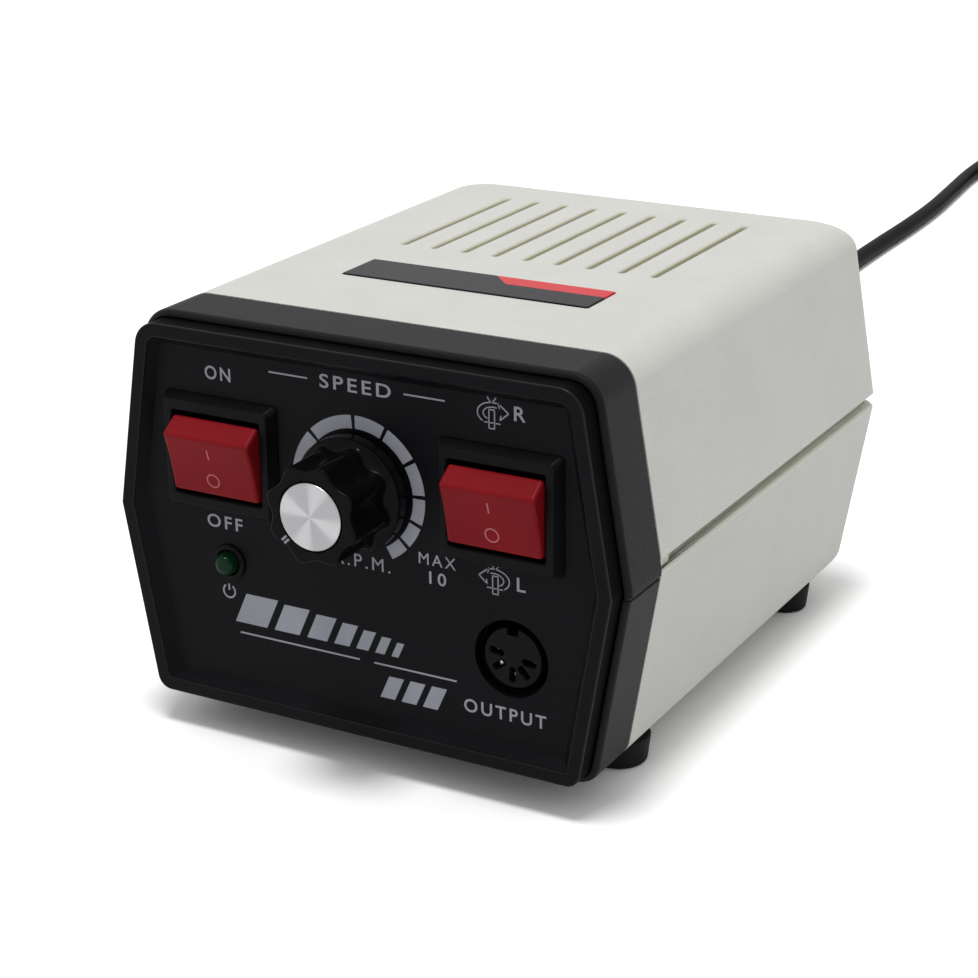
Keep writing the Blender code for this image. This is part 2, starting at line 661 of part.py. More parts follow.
def make_base_shell(look):
    outer = case_block(False, 0.0, GROOVE_BOTTOM_Z, SHELL_FRONT_Y, REAR_Y, REAR_RADIUS)
    inner = case_block(
        False, CASE_WALL, GROOVE_BOTTOM_Z + OVERRUN, SHELL_FRONT_Y - OVERRUN, REAR_INSIDE_Y, REAR_RADIUS - CASE_WALL
    )
    top = tongue_top_z()
    half_x = inner_half(top) - FIT
    front = BEZEL_REAR_Y + BEZEL_TONGUE + FIT
    rear = REAR_INSIDE_Y - FIT
    radius = REAR_RADIUS - CASE_WALL - FIT
    low = GROOVE_BOTTOM_Z - TONGUE_ROOT
    extra = TONGUE_ROOT_EXTRA
    root = plan_block(half_x + extra, front, rear + extra, radius + extra, low, GROOVE_BOTTOM_Z - FIT)
    tongue = plan_block(half_x, front, rear, radius, low + FIT, top)
    hollow_x = half_x - TONGUE_WALL
    hollow = plan_block(
        hollow_x, front - OVERRUN, rear - TONGUE_WALL, radius - TONGUE_WALL, low - OVERRUN, top + OVERRUN
    )
    shell = solid("base_shell", look, outer, cut=[inner])
    shell = rework(shell, add=[root, tongue], cut=[hollow])
    sunk = UNDERSIDE_Z + CASE_WALL / 2
    posts = [prism_z(circle(POST_RADIUS, x, y), sunk, POST_Z) for x, y in foot_places()]
    posts += [
        prism_z(circle(PILLAR_RADIUS, x, y, SMALL_SIDES), sunk, FLOOR_Z + BOARD_STAND) for x, y in board_holes()
    ]
    peg_top = FLOOR_Z + BOARD_STAND + FIT + BOARD_THICK + BOARD_PEG_RISE
    pegs = [prism_z(circle(SCREW_RADIUS, x, y, SMALL_SIDES), sunk, peg_top) for x, y in board_holes()]
    posts += [
        prism_z(circle(BOSS_RADIUS, x, y, SMALL_SIDES), sunk, FLOOR_Z + STRAP_BOSS_HEIGHT)
        for x, y in strap_holes()
    ]
    hole = CASE_SCREW_RADIUS + FIT
    holes = [
        prism_z(circle(hole, x, y, SMALL_SIDES), UNDERSIDE_Z - OVERRUN, POST_Z + OVERRUN) for x, y in foot_places()
    ]
    small = SCREW_RADIUS + FIT
    holes += [
        prism_z(circle(small, x, y, SMALL_SIDES), FLOOR_Z, FLOOR_Z + STRAP_BOSS_HEIGHT + OVERRUN)
        for x, y in strap_holes()
    ]
    through = CASE_WALL * 2
    for x, z, radius in (
        (FUSE_X, FUSE_Z, FUSE_BARREL_RADIUS), (JACK_X, JACK_Z, JACK_BARREL_RADIUS), (CORD_X, CORD_Z, RELIEF_NECK_RADIUS)
    ):
        holes.append(prism_y(circle(radius + FIT, x, z), REAR_Y - through, REAR_Y + OVERRUN))
    return rework(shell, add=[merged(posts), merged(pegs)], cut=[merged(holes)])


def make_bezel(name, look, top):
    """One half of the collar, with a tongue into the shell and two screw tabs."""
    cut_z = SEAM_Z + (FIT / 2 if top else -FIT / 2)
    past = SEAM_Z + (-OVERRUN if top else OVERRUN)
    stations = bevelled_stations(RIM_Y + BEZEL_FRONT, BEZEL_EDGE)
    outlines = [half_outline(top, inset, cut_z) for y, inset in stations]
    ends = [y for y, inset in stations]
    outer = along_y(outlines + [outlines[-1]], ends + [BEZEL_REAR_Y])
    tongue_line = half_outline(top, CASE_WALL + FIT, cut_z)
    tongue = prism_y(tongue_line, BEZEL_REAR_Y - OVERRUN, BEZEL_REAR_Y + BEZEL_TONGUE)
    front_hollow = prism_y(half_outline(top, BEZEL_WALL, past), RIM_Y, STEP_Y)
    rear_hollow = prism_y(
        half_outline(top, BEZEL_FLANGE, past), STEP_Y - OVERRUN, BEZEL_REAR_Y + BEZEL_TONGUE + OVERRUN
    )
    body = solid(name, look, outer, add=[tongue], cut=[front_hollow, rear_hollow])
    tabs = []
    holes = []
    reach = TAB_SIZE / 2
    for x, z in tab_places():
        if (z > MID_Z) == top:
            side = math.copysign(1, x)
            inside_wall = max(u for u, v in half_outline(top, BEZEL_FLANGE - BEZEL_WALL, z))
            low_x, high_x = sorted((x - side * reach, side * inside_wall))
            tabs.append(box((low_x, STEP_Y, z - reach), (high_x, STEP_Y + TAB_THICK, z + reach)))
            holes.append(prism_y(circle(SCREW_RADIUS + FIT, x, z, SMALL_SIDES), STEP_Y - OVERRUN, STEP_Y + TAB_SIZE))
    return rework(body, add=[merged(tabs)], cut=[merged(holes)])


def make_front_panel(look):
    stations = bevelled_stations(RIM_Y, PANEL_EDGE)
    outlines = [full_outline(PANEL_INSET + inset) for y, inset in stations]
    ends = [y for y, inset in stations]
    outer = along_y(outlines + [outlines[-1]], ends + [PANEL_END_Y])
    edge = PANEL_INSET + RIM_WIDTH
    slope = RECESS_SLOPE / RECESS_DEPTH
    recess = along_y(
        [full_outline(edge - OVERRUN * slope), full_outline(edge + RECESS_SLOPE)], [RIM_Y - OVERRUN, PANEL_Y]
    )
    back = prism_y(full_outline(PANEL_INSET + PANEL_SKIRT), PANEL_BACK_Y, PANEL_END_Y + OVERRUN)
    shell = solid("front_panel", look, outer, cut=[recess, back])
    bosses = [
        prism_y(circle(BOSS_RADIUS, x, z, SMALL_SIDES), PANEL_BACK_Y - PANEL_PLATE / 2, PANEL_END_Y)
        for x, z in tab_places()
    ]
    holes = [
        prism_y(circle(SCREW_RADIUS + FIT, x, z, SMALL_SIDES), PANEL_END_Y - SCREW_LENGTH, PANEL_END_Y + OVERRUN)
        for x, z in tab_places()
    ]
    low, high = RIM_Y - OVERRUN, PANEL_BACK_Y + OVERRUN
    holes.append(prism_y(circle(BUSH_RADIUS + FIT, KNOB_X, KNOB_Z), low, high))
    holes.append(prism_y(circle(HOLDER_RADIUS + FIT, LED_X, LED_Z), low, high))
    holes.append(prism_y(circle(SOCKET_HOLE_RADIUS, SOCKET_X, SOCKET_Z), low, high))
    for side in (-1, 1):
        half_u = switch_half_width() + FIT
        half_v = switch_half_height() + FIT
        holes.append(prism_y(rectangle(half_u, half_v, None, side * SWITCH_X, SWITCH_Z), low, high))
    stakes = []
    for side in (-1, 1):
        x = SOCKET_X + side * stake_reach()
        head_y = PANEL_BACK_Y + 2 * FIT + SOCKET_FLANGE_THICK
        profile = [(0.0, PANEL_BACK_Y - PANEL_PLATE / 2), (SCREW_RADIUS, PANEL_BACK_Y - PANEL_PLATE / 2)]
        profile += [(SCREW_RADIUS, head_y), (STAKE_HEAD_RADIUS, head_y)]
        profile += [(STAKE_HEAD_RADIUS, head_y + STAKE_HEAD_THICK), (0.0, head_y + STAKE_HEAD_THICK)]
        stakes.append(turned(profile, (x, 0, SOCKET_Z), sides=SMALL_SIDES))
    return rework(shell, add=[merged(bosses), merged(stakes)], cut=[merged(holes)])


def well_half_width():
    return ROCKER_WIDTH / 2 + ROCKER_SIDE_GAP


def well_half_height():
    return math.hypot(ROCKER_HEEL_HALF, ROCKER_HEEL_RISE) + WELL_GAP


def switch_half_width():
    return well_half_width() + SWITCH_WALL


def switch_half_height():
    return well_half_height() + SWITCH_WALL


def stake_reach():
    return (SOCKET_FLANGE_WIDTH / 2 + SOCKET_BORE_RADIUS + SOCKET_WALL) / 2


def make_switch(name, look, side):
    """Switch housing: drafted flange on the panel, a body behind it and a well for the rocker."""
    x = side * SWITCH_X
    face_y = PANEL_Y - FLANGE_STAND
    seat_y = PANEL_Y - FIT
    edge = FLANGE_CORNER / 2
    draft = FLANGE_DRAFT
    half_u, half_v = FLANGE_WIDTH / 2, FLANGE_HEIGHT / 2
    flange = along_y(
        [
            rectangle(half_u - edge, half_v - edge, FLANGE_CORNER, x, SWITCH_Z),
            rectangle(half_u, half_v, FLANGE_CORNER, x, SWITCH_Z),
            rectangle(half_u + draft, half_v + draft, FLANGE_CORNER, x, SWITCH_Z),
        ],
        [face_y, face_y + edge, seat_y],
    )
    body = prism_y(
        rectangle(switch_half_width(), switch_half_height(), None, x, SWITCH_Z), face_y + edge, PANEL_Y + SWITCH_DEPTH
    )
    well = prism_y(
        rectangle(well_half_width(), well_half_height(), None, x, SWITCH_Z), face_y - OVERRUN, PIVOT_Y + WELL_DEPTH
    )
    reach = well_half_width() + PIVOT_LENGTH - ROCKER_SIDE_GAP + FIT
    pivot = cylinder(PIVOT_RADIUS + FIT, (x - reach, PIVOT_Y, SWITCH_Z), RIGHT, 2 * reach, SMALL_SIDES)
    return solid(name, look, flange, add=[body], cut=[well, pivot])


def make_rocker(name, look, side):
    """Flat-faced rocker at rest with its lower end pressed, its origin on the pivot."""
    profile = [(-ROCKER_FACE_HALF, ROCKER_FACE_RISE), (-ROCKER_HEEL_HALF, ROCKER_HEEL_RISE)]
    profile += [(-ROCKER_NOSE_HALF, -ROCKER_NOSE_DROP), (ROCKER_NOSE_HALF, -ROCKER_NOSE_DROP)]
    profile += [(ROCKER_HEEL_HALF, ROCKER_HEEL_RISE), (ROCKER_FACE_HALF, ROCKER_FACE_RISE)]
    steps = ARC_STEPS
    for k in range(1, steps):
        u = ROCKER_FACE_HALF * (1 - 2 * k / steps)
        dish = ROCKER_DISH * (1 - (u / ROCKER_FACE_HALF) ** 2)
        profile.append((u, ROCKER_FACE_RISE - dish))
    half = ROCKER_WIDTH / 2
    bars = [[(x, -rise, up) for up, rise in profile] for x in (-half, half)]
    reach = half + PIVOT_LENGTH
    pin = cylinder(PIVOT_RADIUS, (-reach, 0, 0), RIGHT, 2 * reach, SMALL_SIDES)
    rocker = solid(name, look, mesh_of(bars), add=[pin])
    rocker.location = (side * SWITCH_X, PIVOT_Y, SWITCH_Z)
    rocker.rotation_euler = (ROCKER_TILT, 0, 0)
    return rocker


def make_switch_base(name, look, side, rows):
    """Plate behind a switch body with rows of two blade terminals."""
    x = side * SWITCH_X
    front = PANEL_Y + SWITCH_DEPTH + FIT
    rear = front + SWITCH_BASE
    plate = prism_y(rectangle(switch_half_width(), switch_half_height(), None, x, SWITCH_Z), front, rear)
    blades = []
    for row in rows:
        for column in (-1, 1):
            u = x + column * BLADE_PITCH / 2
            v = SWITCH_Z + row * BLADE_PITCH
            low = (u - BLADE_THICK / 2, rear - SWITCH_BASE / 2, v - BLADE_WIDTH / 2)
            blades.append(box(low, (u + BLADE_THICK / 2, rear + BLADE_LENGTH, v + BLADE_WIDTH / 2)))
    return solid(name, look, plate, add=[merged(blades)])


def flute_ring(radius, depth, y):
    count = KNOB_FLUTES * KNOB_FLUTE_STEPS
    ring = []
    for k in range(count):
        angle = math.tau * k / count
        wave = abs(math.cos(angle * KNOB_FLUTES / 2))
        reach = radius - depth * (1 - wave) * 2
        ring.append((KNOB_X + reach * math.cos(angle), y, KNOB_Z + reach * math.sin(angle)))
    return ring


def make_knob(look):
    """Fluted knob with a skirt, a seat for the cap and a hub round the shaft."""
    front = RIM_Y - KNOB_STANDOUT + CAP_PROUD
    rear = PANEL_Y - KNOB_PANEL_GAP
    skirt = rear - KNOB_SKIRT_LENGTH
    rings = [
        flute_ring(KNOB_FRONT_RADIUS - KNOB_EDGE / 2, KNOB_FLUTE_DEPTH * KNOB_FLUTE_FRONT_SHARE, front),
        flute_ring(KNOB_FRONT_RADIUS + KNOB_EDGE / 2, KNOB_FLUTE_DEPTH * KNOB_FLUTE_EDGE_SHARE, front + KNOB_EDGE / 2),
        flute_ring(KNOB_BODY_RADIUS - KNOB_EDGE / 2, KNOB_FLUTE_DEPTH, front + 2 * KNOB_EDGE),
        flute_ring(KNOB_BODY_RADIUS, KNOB_FLUTE_DEPTH, skirt - KNOB_EDGE),
        flute_ring(KNOB_SKIRT_RADIUS - KNOB_EDGE / 2, 0.0, skirt),
        flute_ring(KNOB_SKIRT_RADIUS, 0.0, skirt + KNOB_EDGE / 2),
        flute_ring(KNOB_SKIRT_RADIUS, 0.0, rear),
    ]
    floor = rear - KNOB_HOLLOW_DEPTH
    seat_y = RIM_Y - KNOB_STANDOUT + CAP_THICK + FIT
    hollow = turned(
        [
            (KNOB_HUB_RADIUS, floor), (KNOB_HOLLOW_RADIUS, floor),
            (KNOB_HOLLOW_RADIUS, rear + OVERRUN), (KNOB_HUB_RADIUS, rear + OVERRUN),
        ],
        (KNOB_X, 0, KNOB_Z),
    )
    hub_end = prism_y(circle(KNOB_HUB_RADIUS + OVERRUN, KNOB_X, KNOB_Z), rear - KNOB_HUB_SHORT, rear + OVERRUN)
    bore = prism_y(circle(SHAFT_RADIUS + FIT, KNOB_X, KNOB_Z), shaft_front() - FIT, rear + OVERRUN)
    seat = prism_y(circle(CAP_RADIUS + FIT, KNOB_X, KNOB_Z), front - OVERRUN, seat_y)
    screw_way = cylinder(
        SET_SCREW_RADIUS + FIT, (KNOB_X, set_screw_y(), KNOB_Z), -UP, KNOB_SKIRT_RADIUS + OVERRUN, SMALL_SIDES
    )
    return solid("speed_knob", look, mesh_of(rings), cut=[hollow, hub_end, bore, seat, screw_way])


def shaft_front():
    return RIM_Y - KNOB_STANDOUT + SHAFT_TIP_GAP


def set_screw_y():
    return RIM_Y - KNOB_STANDOUT / 2


def make_knob_parts(cap_look, steel):
    face = RIM_Y - KNOB_STANDOUT
    profile = [(0.0, face), (CAP_RADIUS - CAP_EDGE, face), (CAP_RADIUS, face + CAP_EDGE)]
    profile += [(CAP_RADIUS, face + CAP_THICK), (0.0, face + CAP_THICK)]
    solid("knob_cap", cap_look, turned(profile, (KNOB_X, 0, KNOB_Z)))
    start = KNOB_Z - SHAFT_RADIUS - FIT
    grub = cylinder(SET_SCREW_RADIUS, (KNOB_X, set_screw_y(), start), -UP, SET_SCREW_LENGTH, SMALL_SIDES)
    solid("knob_set_screw", steel, grub)
    solid("pot_shaft", steel, cylinder(SHAFT_RADIUS, (KNOB_X, shaft_front(), KNOB_Z), BACK, SHAFT_LENGTH))


def make_pot(body_look, brass, steel):
    front = PANEL_BACK_Y + FIT
    rear = front + POT_DEPTH
    bush_front = front - BUSH_LENGTH
    bore = SHAFT_RADIUS + FIT
    shaft_end = shaft_front() + SHAFT_LENGTH + FIT
    profile = [(0.0, bush_front), (BUSH_RADIUS, bush_front), (BUSH_RADIUS, front), (POT_RADIUS, front)]
    profile += [(POT_RADIUS, rear), (0.0, rear)]
    hole = prism_y(circle(bore, KNOB_X, KNOB_Z), bush_front - OVERRUN, min(shaft_end, rear - FIT))
    solid("pot_body", body_look, turned(profile, (KNOB_X, 0, KNOB_Z)), cut=[hole])
    nut_rear = PANEL_Y - FIT
    nut_front = nut_rear - POT_NUT_THICK
    make_nut("pot_nut", steel, BUSH_RADIUS + FIT, POT_NUT_RADIUS, nut_front, nut_rear, KNOB_X, KNOB_Z)
    top = KNOB_Z - POT_RADIUS - FIT
    mid = (front + rear) / 2
    half = TAG_BLOCK_THICK / 2
    low = (KNOB_X - TAG_BLOCK_WIDTH / 2, mid - half, top - TAG_BLOCK_HEIGHT)
    block = box(low, (KNOB_X + TAG_BLOCK_WIDTH / 2, mid + half, top))
    tags = []
    for k in range(TAG_COUNT):
        x = KNOB_X + (k - (TAG_COUNT - 1) / 2) * TAG_PITCH
        low = (x - TAG_WIDTH / 2, mid - TAG_THICK / 2, top - TAG_BLOCK_HEIGHT - TAG_LENGTH)
        tags.append(box(low, (x + TAG_WIDTH / 2, mid + TAG_THICK / 2, top - TAG_BLOCK_HEIGHT / 2)))
    solid("pot_terminals", brass, block, add=[merged(tags)])


def make_nut(name, look, bore, radius, low, high, x, z):
    """Hexagonal nut along Y."""
    hole = prism_y(circle(bore, x, z), low - OVERRUN, high + OVERRUN)
    solid(name, look, prism_y(circle(radius, x, z, NUT_SIDES), low, high), cut=[hole])


def make_lamp(holder_look, lens_look):
    centre = (LED_X, 0, LED_Z)
    seat = PANEL_Y - FIT
    bore = LED_RADIUS + FIT
    profile = [(bore, seat - HOLDER_FLANGE_THICK), (HOLDER_FLANGE_RADIUS, seat - HOLDER_FLANGE_THICK)]
    profile += [(HOLDER_FLANGE_RADIUS, seat), (HOLDER_RADIUS, seat)]
    profile += [(HOLDER_RADIUS, seat + HOLDER_LENGTH), (bore, seat + HOLDER_LENGTH)]
    solid("led_holder", holder_look, turned(profile, centre))
    base = PANEL_Y - LED_DOME_RISE
    dome = []
    steps = ARC_STEPS
    for k in range(steps + 1):
        angle = math.pi / 2 * k / steps
        dome.append((LED_RADIUS * math.sin(angle), base - LED_RADIUS * math.cos(angle)))
    dome += [(LED_RADIUS, base + LED_LENGTH), (0.0, base + LED_LENGTH)]
    dome[0] = (0.0, base - LED_RADIUS)
    solid("led_lens", lens_look, turned(dome, centre, sides=ROUND_SIDES // 2))


def contact_places():
    spots = []
    for k in range(CONTACT_COUNT):
        angle = -math.pi / 2 + CONTACT_ARC * (k / (CONTACT_COUNT - 1) - 1 / 2)
        x = SOCKET_X + CONTACT_PITCH_RADIUS * math.cos(angle)
        spots.append((x, SOCKET_Z + CONTACT_PITCH_RADIUS * math.sin(angle)))
    return spots


def make_socket(look, insert_look, brass):
    seat = PANEL_BACK_Y + FIT
    rear = seat + SOCKET_DEPTH
    floor = rear - SOCKET_WALL
    flange = prism_y(
        rectangle(SOCKET_FLANGE_WIDTH / 2, SOCKET_FLANGE_HEIGHT / 2, SOCKET_WALL, SOCKET_X, SOCKET_Z),
        seat, seat + SOCKET_FLANGE_THICK,
    )
    cup = prism_y(circle(SOCKET_BORE_RADIUS + SOCKET_WALL, SOCKET_X, SOCKET_Z), seat + FIT, rear)
    bore = prism_y(circle(SOCKET_BORE_RADIUS, SOCKET_X, SOCKET_Z), seat - OVERRUN, floor)
    holes = [
        prism_y(circle(CONTACT_HOLE_RADIUS, x, z, SMALL_SIDES), floor - OVERRUN, rear + OVERRUN)
        for x, z in contact_places()
    ]
    for side in (-1, 1):
        spot = circle(SCREW_RADIUS + FIT, SOCKET_X + side * stake_reach(), SOCKET_Z, SMALL_SIDES)
        holes.append(prism_y(spot, seat - OVERRUN, seat + SOCKET_FLANGE_THICK + OVERRUN))
    solid("socket_housing", look, flange, add=[cup], cut=[bore, merged(holes)])
    front = PANEL_Y + INSERT_RECESS
    insert = prism_y(circle(INSERT_RADIUS, SOCKET_X, SOCKET_Z), front, floor - FIT)
    key = box(
        (SOCKET_X - KEY_WIDTH / 2, front - OVERRUN, SOCKET_Z + INSERT_RADIUS - KEY_DEPTH),
        (SOCKET_X + KEY_WIDTH / 2, floor, SOCKET_Z + INSERT_RADIUS + OVERRUN),
    )
    ways = [
        prism_y(circle(CONTACT_HOLE_RADIUS, x, z, SMALL_SIDES), front - OVERRUN, floor) for x, z in contact_places()
    ]
    solid("socket_insert", insert_look, insert, cut=[key, merged(ways)])
    start = front + CONTACT_RECESS
    length = rear + CONTACT_TAIL - start
    wafer = cylinder(WAFER_RADIUS, (SOCKET_X, rear + FIT, SOCKET_Z), BACK, WAFER_THICK)
    pins = [cylinder(CONTACT_RADIUS, (x, start, z), BACK, length, SMALL_SIDES // 2) for x, z in contact_places()]
    solid("socket_contacts", brass, wafer, add=[merged(pins)])


def make_feet_and_screws(rubber, steel):
    names = ("front_left", "front_right", "rear_left", "rear_right")
    top = UNDERSIDE_Z - FIT
    hole = CASE_SCREW_RADIUS + FIT
    for name, (x, y) in zip(names, foot_places()):
        profile = [(FOOT_SEAT_RADIUS, 0.0), (FOOT_RADIUS - FOOT_TAPER, 0.0), (FOOT_RADIUS, top), (hole, top)]
        profile += [(hole, FOOT_SEAT_DEPTH), (FOOT_SEAT_RADIUS, FOOT_SEAT_DEPTH)]
        solid(name + "_foot", rubber, turned(profile, (x, y, 0), UP))
        head = Vector((x, y, FOOT_SEAT_DEPTH - FIT))
        length = POST_Z + CASE_SCREW_BITE - head.z
        shape = screw(head, UP, length, CASE_SCREW_RADIUS, CASE_SCREW_HEAD_RADIUS, CASE_SCREW_HEAD_THICK)
        solid(name + "_case_screw", steel, shape)
    names = ("lower_left", "lower_right", "upper_left", "upper_right")
    for name, (x, z) in zip(names, tab_places()):
        head = (x, STEP_Y + TAB_THICK + FIT, z)
        shape = screw(head, -BACK, TAB_THICK + 2 * FIT + SCREW_LENGTH - OVERRUN)
        solid(name + "_panel_screw", steel, shape)


def make_plate(look):
    low = TOP_Z - PLATE_POCKET + FIT
    outline = rectangle(PLATE_WIDTH / 2, PLATE_LENGTH / 2, PLATE_CORNER, 0.0, PLATE_Y)
    solid("top_plate", look, prism_z(outline, low, low + PLATE_THICK))


def make_transformer(steel, dark_steel, bobbin_look, winding_look, screw_look):
    y = CORE_Y
    half_x, half_y = CORE_WIDTH / 2, CORE_STACK / 2
    low = FLOOR_Z + FIT
    top = low + CORE_HEIGHT
    core = box((-half_x, y - half_y, low), (half_x, y + half_y, top))
    windows = []
    for side in (-1, 1):
        near, far = sorted((side * CORE_LIMB, side * 2 * CORE_LIMB))
        corner = (far, y + half_y + OVERRUN, top - CORE_LIMB)
        windows.append(box((near, y - half_y - OVERRUN, low + CORE_LIMB), corner))
    solid("transformer_core", dark_steel, core, cut=[merged(windows)])
    inner_x, inner_y = CORE_LIMB + FIT, half_y + FIT
    tube_x, tube_y = inner_x + BOBBIN_WALL, inner_y + BOBBIN_WALL
    outer_x = 2 * CORE_LIMB - FIT
    outer_y = half_y + WINDING_REACH
    bottom, ceiling = low + CORE_LIMB + FIT, top - CORE_LIMB - FIT
    tube = prism_z(rectangle(tube_x, tube_y, None, 0.0, y), bottom, ceiling)
    plates = []
    for start in (bottom, ceiling - BOBBIN_FLANGE):
        plates.append(prism_z(rectangle(outer_x, outer_y, 2 * BOBBIN_WALL, 0.0, y), start, start + BOBBIN_FLANGE))
    way = prism_z(rectangle(inner_x, inner_y, None, 0.0, y), bottom - OVERRUN, ceiling + OVERRUN)
    solid("transformer_bobbin", bobbin_look, tube, add=plates, cut=[way])
    wound = prism_z(
        rectangle(outer_x - FIT, outer_y - FIT, 4 * BOBBIN_WALL, 0.0, y),
        bottom + BOBBIN_FLANGE + FIT, ceiling - BOBBIN_FLANGE - FIT,
    )
    eye = prism_z(rectangle(tube_x + FIT, tube_y + FIT, None, 0.0, y), bottom, ceiling)
    solid("transformer_winding", winding_look, wound, cut=[eye])
    seat = FLOOR_Z + STRAP_BOSS_HEIGHT + FIT
    inside = half_x + FIT
    outside = inside + STRAP_THICK
    end = outside + STRAP_FOOT
    roof = top + FIT
    strap_y = STRAP_WIDTH / 2
    outline = [(-end, seat), (-inside, seat), (-inside, roof), (inside, roof), (inside, seat), (end, seat)]
    outline += [(end, seat + STRAP_THICK), (outside, seat + STRAP_THICK), (outside, roof + STRAP_THICK)]
    outline += [(-outside, roof + STRAP_THICK), (-outside, seat + STRAP_THICK), (-end, seat + STRAP_THICK)]
    strap = prism_y(outline, y - strap_y, y + strap_y)
    holes = [
        prism_z(circle(SCREW_RADIUS + FIT, x, v, SMALL_SIDES), seat - OVERRUN, seat + STRAP_THICK + OVERRUN)
        for x, v in strap_holes()
    ]
    solid("transformer_strap", steel, strap, cut=[merged(holes)])
    length = STRAP_THICK + 2 * FIT + STRAP_BOSS_HEIGHT - OVERRUN
    for name, (x, v) in zip(("left", "right"), strap_holes()):
        shape = screw((x, v, seat + STRAP_THICK + FIT), -UP, length)
        solid(name + "_strap_screw", screw_look, shape)


def make_board(looks):
    low = FLOOR_Z + BOARD_STAND + FIT
    top = low + BOARD_THICK
    middle = BOARD_Y + BOARD_LENGTH / 2
    board = prism_z(rectangle(BOARD_WIDTH / 2, BOARD_LENGTH / 2, BOARD_HOLE_EDGE / 2, 0.0, middle), low, top)
    holes = [
        prism_z(circle(SCREW_RADIUS + FIT, x, y, SMALL_SIDES), low - OVERRUN, top + OVERRUN) for x, y in board_holes()
    ]
    solid("circuit_board", looks["board"], board, cut=[merged(holes)])
    base = top + FIT
    groove = base + CAN_HEIGHT / 8
    inner = CAN_RADIUS - CAN_GROOVE
    can = [(0.0, base), (CAN_RADIUS, base), (CAN_RADIUS, groove), (inner, groove + CAN_GROOVE)]
    can += [(CAN_RADIUS, groove + 2 * CAN_GROOVE), (CAN_RADIUS, base + CAN_HEIGHT - CAN_GROOVE)]
    can += [(inner, base + CAN_HEIGHT), (0.0, base + CAN_HEIGHT)]
    solid("smoothing_capacitor", looks["can"], turned(can, (CAN_X, middle, 0), UP, ROUND_SIDES // 2 + NUT_SIDES + 2))
    half = BRIDGE_WIDTH / 2
    corner = (BRIDGE_X + BRIDGE_THICK / 2, middle + half, base + BRIDGE_HEIGHT)
    bridge = box((BRIDGE_X - BRIDGE_THICK / 2, middle - half, base), corner)
    solid("bridge_rectifier", looks["epoxy"], bridge)
    sink_low = SINK_X - SINK_WIDTH / 2
    gap = (SINK_LENGTH - SINK_FINS * SINK_FIN) / (SINK_FINS - 1)
    outline = [(sink_low, middle + SINK_LENGTH / 2), (sink_low, middle - SINK_LENGTH / 2)]
    for k in range(SINK_FINS):
        start = middle - SINK_LENGTH / 2 + k * (gap + SINK_FIN)
        outline += [(sink_low + SINK_WIDTH, start), (sink_low + SINK_WIDTH, start + SINK_FIN)]
        if k < SINK_FINS - 1:
            outline += [(sink_low + SINK_PLATE, start + SINK_FIN), (sink_low + SINK_PLATE, start + SINK_FIN + gap)]
    solid("heat_sink", looks["aluminium"], prism_z(outline, base, base + SINK_HEIGHT))
    face = sink_low - FIT
    half = TRANSISTOR_WIDTH / 2
    rise = base + FIT
    body = box((face - TRANSISTOR_THICK, middle - half, rise), (face, middle + half, rise + TRANSISTOR_HEIGHT))
    solid("power_transistor", looks["epoxy"], body)


